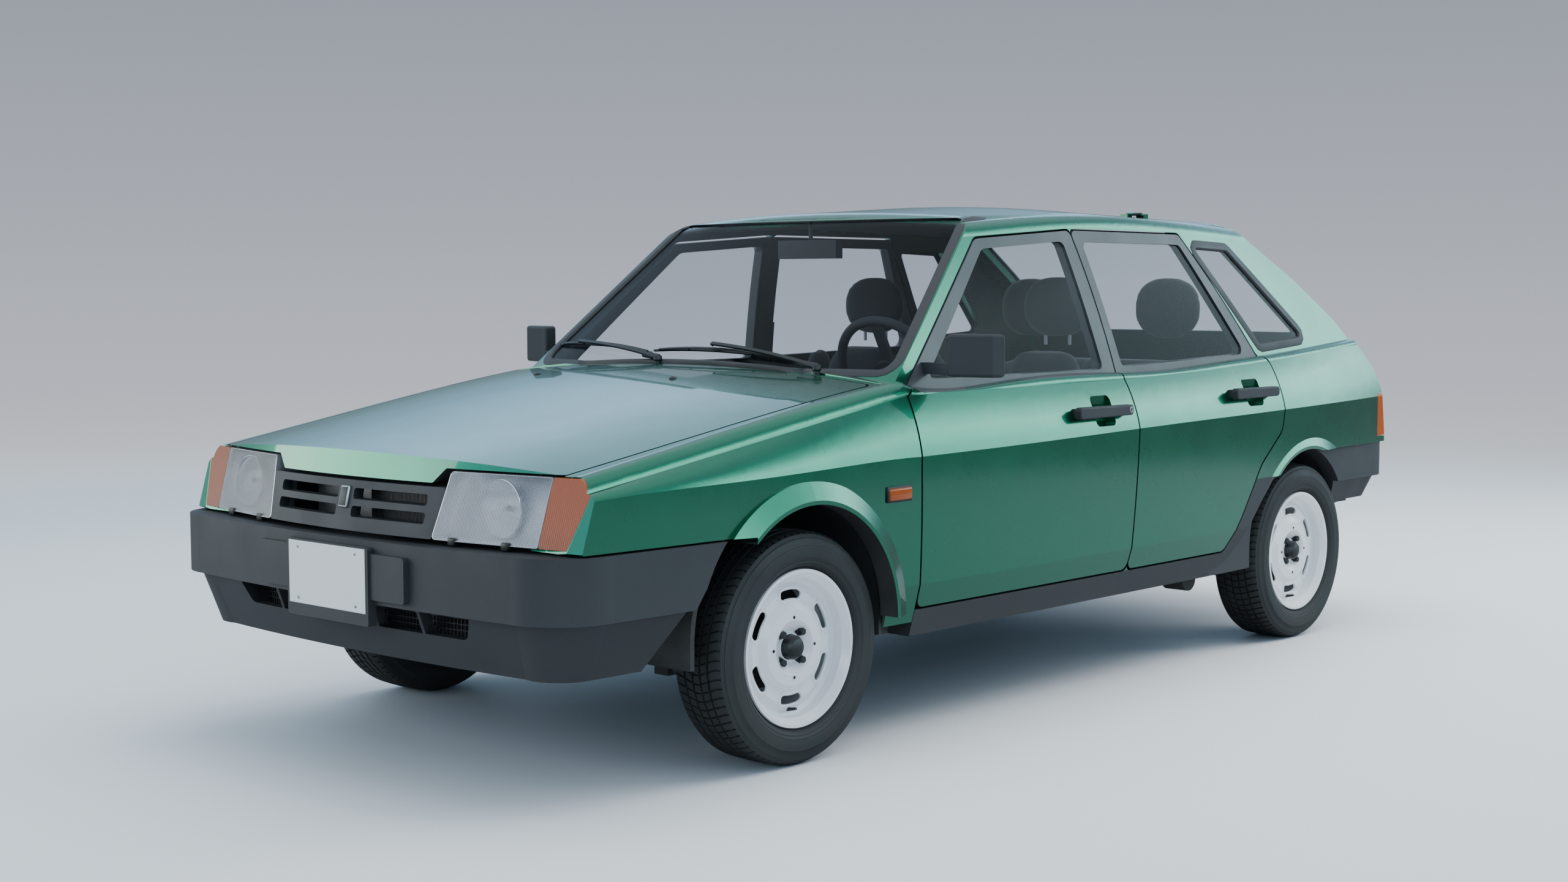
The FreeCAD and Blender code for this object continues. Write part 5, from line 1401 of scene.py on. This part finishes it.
@dataclass
class Windscreen:
    """The two wipers and the washer nozzles on the bonnet."""

    wipers: tuple[Wiper, ...] = (
        Wiper((0.500, aft(0.366), 0.954), (0.060, aft(0.432)), ((-0.168, aft(0.4205)), (0.364, aft(0.421)))),
        Wiper((-0.100, aft(0.366), 0.966), (-0.540, aft(0.480)),
              ((-0.660, aft(0.503)), (-0.166, aft(0.412)))))
    nozzles: tuple[tuple[float, float], ...] = ((-0.395, aft(0.175)), (0.180, aft(0.150)))
    dome: tuple[tuple[float, float], ...] = ((-0.002, 0.011), (0.0012, 0.011), (0.004, 0.008),
                                             (0.0058, 0.004), (0.006, 0.0))

    def build(self) -> None:
        """Makes the wipers on the body and the nozzles on the bonnet."""
        glass = SurfaceFinder("windscreen")
        both = gathered([(wiper.shape(glass), 0) for wiper in self.wipers])
        emit(both, "windscreen_wipers", (TRIM,), "body", 35.0, ("wipers",))
        bonnet = SurfaceFinder("bonnet")
        emit(gathered([(faced(spun(self.dome, 24), *bonnet.at(x, y)), 0) for x, y in self.nozzles]),
             "washer_nozzles", (TRIM,), "bonnet")


# Seats

@dataclass
class Cushion:
    """A sewn cushion: a crowned closed form whose sides pull in between its corners."""

    name: str
    centre: tuple[float, float, float]
    size: tuple[float, float, float]
    lean: float = 0.0
    roundness: float = 4.0
    waist: float = 0.05
    end_waist: float = 0.6
    crown: float = 0.12
    channels: tuple[float, ...] = ()
    channel_axis: int = 0
    cuts: int = 11
    voxel: float = 0.014
    travel: float = 0.012
    inset: float = 0.008

    def shape(self) -> bmesh.types.BMesh:
        """Returns the cushion in its place, puffed by a short cloth run."""
        shape = bmesh.new()
        bmesh.ops.create_cube(shape, size=2.0)
        bmesh.ops.subdivide_edges(shape, edges=shape.edges[:], cuts=self.cuts, use_grid_fill=True)
        half = Vector(self.size) / 2 - Vector((self.inset,) * 3)
        for vert in shape.verts:
            vert.co = self._rounded(vert.co, half)
        mesh = bpy.data.meshes.new(self.name)
        shape.to_mesh(mesh)
        shape.free()
        mesh = self._puffed(mesh)
        shape = bmesh.new()
        shape.from_mesh(mesh)
        bpy.data.meshes.remove(mesh)
        self._sew(shape, half)
        turned(shape, self.lean, "X", self.centre)
        bmesh.ops.recalc_face_normals(shape, faces=shape.faces[:])
        return shape

    def _rounded(self, spot: Vector, half: Vector) -> Vector:
        """Moves a point of the unit cube onto the crowned, waisted block."""
        power = self.roundness
        reach = sum(abs(value) ** power for value in spot) ** (1.0 / power)
        point = spot / reach
        wide, deep, tall = point
        pull = 1.0 - self.waist * (1.0 - min(1.0, abs(deep)) ** 2) * (1.0 - tall ** 2)
        rise = 1.0 - self.crown * (wide ** 2 + deep ** 2) / 2
        draw = 1.0 - self.waist * (1.0 - wide ** 2) * self.end_waist
        return Vector((wide * half.x * pull, deep * half.y * draw, tall * half.z * rise))

    def _puffed(self, mesh: bpy.types.Mesh) -> bpy.types.Mesh:
        """Lets air pressure fill the cushion for a few frames.

        Args:
            mesh: the cushion as it was modelled, which is used up.

        Returns:
            The puffed mesh.
        """
        block = bpy.data.objects.new(f"{self.name}_cloth", mesh)
        scene = bpy.context.scene
        scene.collection.objects.link(block)
        remesh = block.modifiers.new("even_cells", "REMESH")
        remesh.mode = "VOXEL"
        remesh.voxel_size = self.voxel
        bpy.context.view_layer.update()
        even = bpy.data.meshes.new_from_object(block.evaluated_get(bpy.context.evaluated_depsgraph_get()))
        block.modifiers.remove(remesh)
        block.data = even
        bpy.data.meshes.remove(mesh)
        rest = [vert.co.copy() for vert in even.vertices]
        cloth = block.modifiers.new("air", "CLOTH")
        cloth.settings.use_pressure = True
        cloth.settings.uniform_pressure_force = CUSHION_PRESSURE
        cloth.settings.effector_weights.gravity = 0.0
        for number in range(1, CLOTH_FRAMES + 1):
            scene.frame_set(number)
        filled = bpy.data.meshes.new_from_object(block.evaluated_get(bpy.context.evaluated_depsgraph_get()))
        for vert, start in zip(filled.vertices, rest):
            way = vert.co - start
            if way.length > self.travel:
                vert.co = start + way.normalized() * self.travel
        bpy.data.objects.remove(block)
        bpy.data.meshes.remove(even)
        scene.frame_set(1)
        return filled

    def _sew(self, shape: bmesh.types.BMesh, half: Vector) -> None:
        """Presses the sewn channels and the seam round the side into the cushion."""
        axis = self.channel_axis
        for vert in shape.verts:
            dent = sum(math.exp(-((vert.co[axis] - place) / CHANNEL_WIDTH) ** 2) for place in self.channels)
            vert.co.z -= dent * CHANNEL_DEPTH * max(0.0, vert.co.z / half.z)
            seam = math.exp(-((vert.co.z - half.z * SEAM_HEIGHT) / SEAM_WIDTH) ** 2)
            side = max(abs(vert.co.x) / half.x, abs(vert.co.y) / half.y)
            if side > SEAM_FROM:
                vert.co.x *= 1.0 - seam * SEAM_DEPTH
                vert.co.y *= 1.0 - seam * SEAM_DEPTH


@dataclass
class Seats:
    """Front seats and the rear bench with their headrests."""

    place: float = 0.370
    bolster_roundness: float = 3.2
    head_roundness: float = 2.5
    posts: tuple[float, float, float] = (0.045, aft(1.645), 0.98)
    post_length: float = 0.09
    post_radius: float = 0.0055
    runner_shift: float = 0.17
    runner_half: float = 0.018
    runner_along: tuple[float, float] = (aft(0.95), aft(1.38))
    runner_up: tuple[float, float] = (0.300, 0.322)
    runner_rounding: float = 0.004

    def build(self) -> None:
        """Makes the soft parts of one front seat, mirrors them, and makes the rear bench."""
        left = gathered([(part.shape(), 0) for part in self._front_cushions()])
        self._soft(gathered(pair(left)), "front_seat_cushions", ("front_seats",))
        emit(gathered(pair(self._posts()) + pair(self._runners(), 1)), "front_seat_metalwork", (STEEL, CABIN),
             "body")
        rear = [(part.shape(), 0) for part in self._rear_cushions()]
        head = Cushion("rear_headrest", (0.285, aft(2.415), 1.085), (0.265, 0.095, 0.225),
                       roundness=self.head_roundness, waist=0.0).shape()
        self._soft(gathered(rear + pair(head)), "rear_bench_cushions", ("rear_seat",))

    def _soft(self, shape: bmesh.types.BMesh, name: str, stands_for: Sequence[str]) -> None:
        """Makes a cloth piece of a shape."""
        piece = emit(shape, name, (CLOTH,), "body", 75.0, stands_for)

    def _front_cushions(self) -> list[Cushion]:
        """Returns the cushions of the left front seat."""
        x = self.place
        return [
            Cushion("front_base", (x, aft(1.160), 0.405), (0.30, 0.50, 0.185), 0.07,
                    channels=(-0.13, 0.0, 0.13), channel_axis=1),
            *self._bolsters("front_base", (0.195, aft(1.160), 0.412), (0.10, 0.50, 0.20), 0.07),
            Cushion("front_back", (x, aft(1.535), 0.715), (0.30, 0.56, 0.115), 1.36,
                    channels=(-0.15, 0.0, 0.15), channel_axis=1),
            *self._bolsters("front_back", (0.185, aft(1.525), 0.700), (0.09, 0.54, 0.135), 1.36),
            Cushion("front_headrest", (x, aft(1.640), 1.098), (0.256, 0.095, 0.205),
                    roundness=self.head_roundness, waist=0.0)]

    def _bolsters(self, name: str, centre: tuple[float, float, float], size: tuple[float, float, float],
                  lean: float) -> list[Cushion]:
        """Returns the two side bolsters of the left front seat's base or back.

        Args:
            name: what the bolsters belong to.
            centre: the outer bolster's centre, from the middle of the seat.
            size: size of each.
            lean: how far they lean back.

        Returns:
            The outer bolster and the inner one.
        """
        shift, y, z = centre
        return [Cushion(f"{name}_{side}", (self.place + sense * shift, y, z), size, lean,
                        roundness=self.bolster_roundness) for side, sense in (("outer", 1), ("inner", -1))]

    def _rear_cushions(self) -> list[Cushion]:
        """Returns the base and the back of the rear bench."""
        return [
            Cushion("bench_base", (0.0, aft(2.12), 0.470), (0.84, 0.44, 0.09), 0.0,
                    channels=(-0.21, 0.0, 0.21)),
            Cushion("bench_back", (0.0, aft(2.425), 0.715), (1.10, 0.45, 0.11), 1.24,
                    channels=(-0.30, 0.0, 0.30))]

    def _posts(self) -> bmesh.types.BMesh:
        """Returns the two posts of the left front headrest."""
        shift, y, z = self.posts
        return gathered([(bar((x, y, z), (x, y, z + self.post_length), self.post_radius, steps=12), 0)
                         for x in (self.place - shift, self.place + shift)])

    def _runners(self) -> bmesh.types.BMesh:
        """Returns the runners below the left front seat."""
        (front, back), (low, high) = self.runner_along, self.runner_up
        return gathered([(brick((x - self.runner_half, front, low), (x + self.runner_half, back, high),
                                self.runner_rounding), 0)
                         for x in (self.place - self.runner_shift, self.place + self.runner_shift)])


@dataclass
class Cabin:
    """What is added to the cabin as it shows through the glass: the steering wheel's pad."""

    hub: tuple[float, float, float] = (0.370, aft(0.905), 0.830)
    lean: float = -0.42
    pad_half: tuple[float, float, float] = (0.075, 0.045, 0.012)
    pad_rounding: float = 0.010

    def build(self) -> None:
        """Makes the steering wheel's pad."""
        half = Vector(self.pad_half)
        pad = turned(brick(-half, half, self.pad_rounding, 3), self.lean, "X", self.hub)
        emit(pad, "steering_wheel_pad", (CABIN,), "steering_wheel")


# View and light

@dataclass
class Viewpoint:
    """Camera that stands where the photograph was taken from."""

    place: Vector = field(default_factory=lambda: Vector((4.1075, -4.8730, 1.1772)))
    yaw: float = 0.741621
    pitch: float = -0.0766634
    roll: float = -0.0022361
    lens: float = 47.51
    sensor: float = 36.0

    def build(self) -> None:
        """Makes the camera and sets it as the scene's own."""
        data = bpy.data.cameras.new("photo_camera")
        data.lens = self.lens
        data.sensor_width = self.sensor
        camera = bpy.data.objects.new("photo_camera", data)
        bpy.context.scene.collection.objects.link(camera)
        turn = (Matrix.Rotation(self.yaw, 4, "Z") @ Matrix.Rotation(math.pi / 2 + self.pitch, 4, "X")
                @ Matrix.Rotation(self.roll, 4, "Z"))
        camera.matrix_world = Matrix.Translation(self.place) @ turn
        bpy.context.scene.camera = camera


@dataclass(frozen=True)
class SoftBox:
    """One soft lamp, which shows in shiny surfaces alone or lights the dull ones alone."""

    name: str
    place: tuple[float, float, float]
    target: tuple[float, float, float]
    size: tuple[float, float]
    power: float
    color: tuple[float, float, float]
    mirrored: bool = False

    def build(self) -> None:
        """Makes the lamp and turns it to its target."""
        data = bpy.data.lights.new(self.name, "AREA")
        data.shape = "RECTANGLE"
        data.size, data.size_y = self.size
        data.energy = self.power
        data.color = self.color
        lamp = bpy.data.objects.new(self.name, data)
        bpy.context.scene.collection.objects.link(lamp)
        lamp.visible_camera = False
        lamp.visible_transmission = False
        lamp.visible_glossy = self.mirrored
        lamp.visible_diffuse = not self.mirrored
        way = Vector(self.target) - Vector(self.place)
        turn = way.to_track_quat("-Z", "Y").to_matrix().to_4x4()
        lamp.matrix_world = Matrix.Translation(Vector(self.place)) @ turn


Stops = tuple[tuple[float, tuple[float, float, float]], ...]


@dataclass
class Studio:
    """Pale floor that melts into a plain surround and shows a painted shade in reflections, and soft lamps.
    """

    floor_radius: float = 11.0
    fade_from: float = 5.8
    fade_to: float = 10.6
    floor_color: tuple[float, float, float] = (0.80, 0.805, 0.82)
    floor_roughness: float = 0.6
    # Floor colour that reflections see: painted shade that darkens the car's lower sides.
    floor_shade_in_reflections: tuple[float, float, float] = (0.25, 0.26, 0.28)
    lowest: float = -0.2
    side_from: float = 0.1
    side_to: float = 0.35
    brightest: float = 5.0
    backdrop: Stops = (
        (-0.10, (1.05, 1.06, 1.12)), (-0.075, (0.70, 0.74, 0.79)), (-0.05, (0.60, 0.63, 0.71)),
        (0.03, (0.48, 0.515, 0.59)), (0.13, (0.36, 0.40, 0.47)))
    studio: Stops = (
        (-0.02, (0.16, 0.17, 0.19)), (0.09, (0.18, 0.25, 0.29)), (0.18, (0.32, 0.54, 0.74)),
        (0.27, (0.60, 0.95, 1.30)), (0.36, (0.90, 1.35, 1.85)), (0.52, (0.35, 0.48, 0.62)),
        (0.75, (0.8, 0.95, 1.05)))
    side_light: Stops = (
        (-0.02, (0.16, 0.17, 0.18)), (0.07, (0.22, 0.27, 0.29)), (0.18, (2.3, 3.4, 3.7)),
        (0.31, (3.4, 4.6, 4.9)), (0.43, (1.2, 1.7, 1.9)), (0.54, (0.35, 0.48, 0.60)),
        (0.75, (0.8, 0.95, 1.05)))
    lamps: tuple[SoftBox, ...] = (
        SoftBox("overhead_soft", (0.6, 0.8, 5.2), (0.0, 0.0, 0.6), (5.0, 7.0), 330.0, (0.95, 0.98, 1.0)),
        SoftBox("key_soft", (3.0, 5.6, 3.6), (0.0, 0.3, 0.5), (3.0, 3.0), 260.0, (1.0, 0.98, 0.95)),
        SoftBox("front_fill", (-1.5, -7.5, 3.0), (0.0, -0.5, 0.5), (4.5, 3.0), 120.0, (0.95, 0.98, 1.0)),
        SoftBox("nose_soft", (-2.6, -3.8, 1.15), (0.0, -1.9, 0.72), (2.6, 1.3), 42.0, (0.97, 1.0, 0.96),
                mirrored=True))

    def build(self) -> None:
        """Makes the floor, the surround and the lamps."""
        self._floor()
        self._surround()
        for lamp in self.lamps:
            lamp.build()

    def _floor(self) -> None:
        """Makes the floor disc, which clears away towards its edge and is painted darker where reflections
        see it, as shade on the car's lower sides.
        """
        shape = bmesh.new()
        bmesh.ops.create_circle(shape, cap_ends=True, segments=96, radius=self.floor_radius)
        mesh = bpy.data.meshes.new("studio_floor")
        shape.to_mesh(mesh)
        shape.free()
        floor = bpy.data.objects.new("studio_floor", mesh)
        bpy.context.scene.collection.objects.link(floor)
        material = bpy.data.materials.new("studio_floor")
        material.use_nodes = True
        tree = material.node_tree
        shader = tree.nodes["Principled BSDF"]
        place = tree.nodes.new("ShaderNodeTexCoord")
        rays = tree.nodes.new("ShaderNodeLightPath")
        # Reflections see the darker floor colour: painted shade on the car's lower sides.
        shade = blended(tree, rays.outputs["Is Glossy Ray"], (*self.floor_color, 1.0),
                        (*self.floor_shade_in_reflections, 1.0))
        feed(tree, shader, {"Roughness": self.floor_roughness, "Base Color": shade})
        reach = wired(tree, "ShaderNodeVectorMath", {0: place.outputs["Object"]}, operation="LENGTH")
        fade = wired(tree, "ShaderNodeMapRange", {
            "Value": reach.outputs["Value"], "From Min": self.fade_from, "From Max": self.fade_to},
            interpolation_type="SMOOTHSTEP")
        clear = tree.nodes.new("ShaderNodeBsdfTransparent")
        mix = wired(tree, "ShaderNodeMixShader", {
            "Fac": fade.outputs["Result"], 1: shader.outputs["BSDF"], 2: clear.outputs["BSDF"]})
        feed(tree, tree.nodes["Material Output"], {"Surface": mix.outputs["Shader"]})
        mesh.materials.append(material)

    def _surround(self) -> None:
        """Makes the surround: pale at the horizon, grey above it, bright and cool overhead."""
        world = bpy.data.worlds.new("studio_surround")
        bpy.context.scene.world = world
        world.use_nodes = True
        tree = world.node_tree
        place = tree.nodes.new("ShaderNodeTexCoord")
        apart = wired(tree, "ShaderNodeSeparateXYZ", {"Vector": place.outputs["Generated"]})
        height = wired(tree, "ShaderNodeMath", {0: apart.outputs["Z"], 1: self.lowest},
                       operation="SUBTRACT").outputs["Value"]
        rays = tree.nodes.new("ShaderNodeLightPath")
        direct = wired(tree, "ShaderNodeMath", {
            0: rays.outputs["Is Camera Ray"], 1: rays.outputs["Is Transmission Ray"]}, operation="MAXIMUM")
        beside = wired(tree, "ShaderNodeMapRange", {
            "Value": apart.outputs["X"], "From Min": self.side_from, "From Max": self.side_to},
            interpolation_type="SMOOTHSTEP")
        mirrored = product(tree, beside.outputs["Result"], rays.outputs["Is Glossy Ray"])
        lit = blended(tree, mirrored, self._ramp(tree, height, self.studio),
                      self._ramp(tree, height, self.side_light))
        seen = blended(tree, direct.outputs["Value"], lit, self._ramp(tree, height, self.backdrop))
        feed(tree, tree.nodes["Background"], {"Color": seen, "Strength": self.brightest})

    def _ramp(self, tree: bpy.types.NodeTree, height: bpy.types.NodeSocket,
              stops: Stops) -> bpy.types.NodeSocket:
        """Makes a colour ramp over the height of a direction.

        Args:
            tree: node tree of the surround.
            height: the height above the lowest one.
            stops: the colours with their heights.

        Returns:
            The ramp's colour.
        """
        ramp = wired(tree, "ShaderNodeValToRGB", {"Fac": height})
        elements = ramp.color_ramp.elements
        for _ in stops[2:]:
            elements.new(1.0)
        for element, (place, color) in zip(elements, stops):
            element.position = place - self.lowest
            element.color = (*(value / self.brightest for value in color), 1.0)
        return ramp.outputs["Color"]


def dress_nodes() -> None:
    """Gives every node of the frame the finish of its slot."""
    slots = {part["node"]: part["material_slot"] for part in frame["record"]["subparts"]}
    for name, node in frame["nodes"].items():
        node.data.materials.clear()
        node.data.materials.append(SLOT_FINISHES[slots[name]].material())


def main() -> None:
    """Builds the whole scene in order."""
    logging.basicConfig(level=logging.INFO)
    Viewpoint().build()
    Studio().build()
    dress_nodes()
    for group in (BodyShell(), WindowSeals(), WheelSet(), Headlamps(), TailLamps(), Nose(), Plates(),
                  SideRepeaters(), DoorFittings(), Windscreen(), Seats(), Cabin()):
        group.build()


if __name__ == "__main__":
    main()
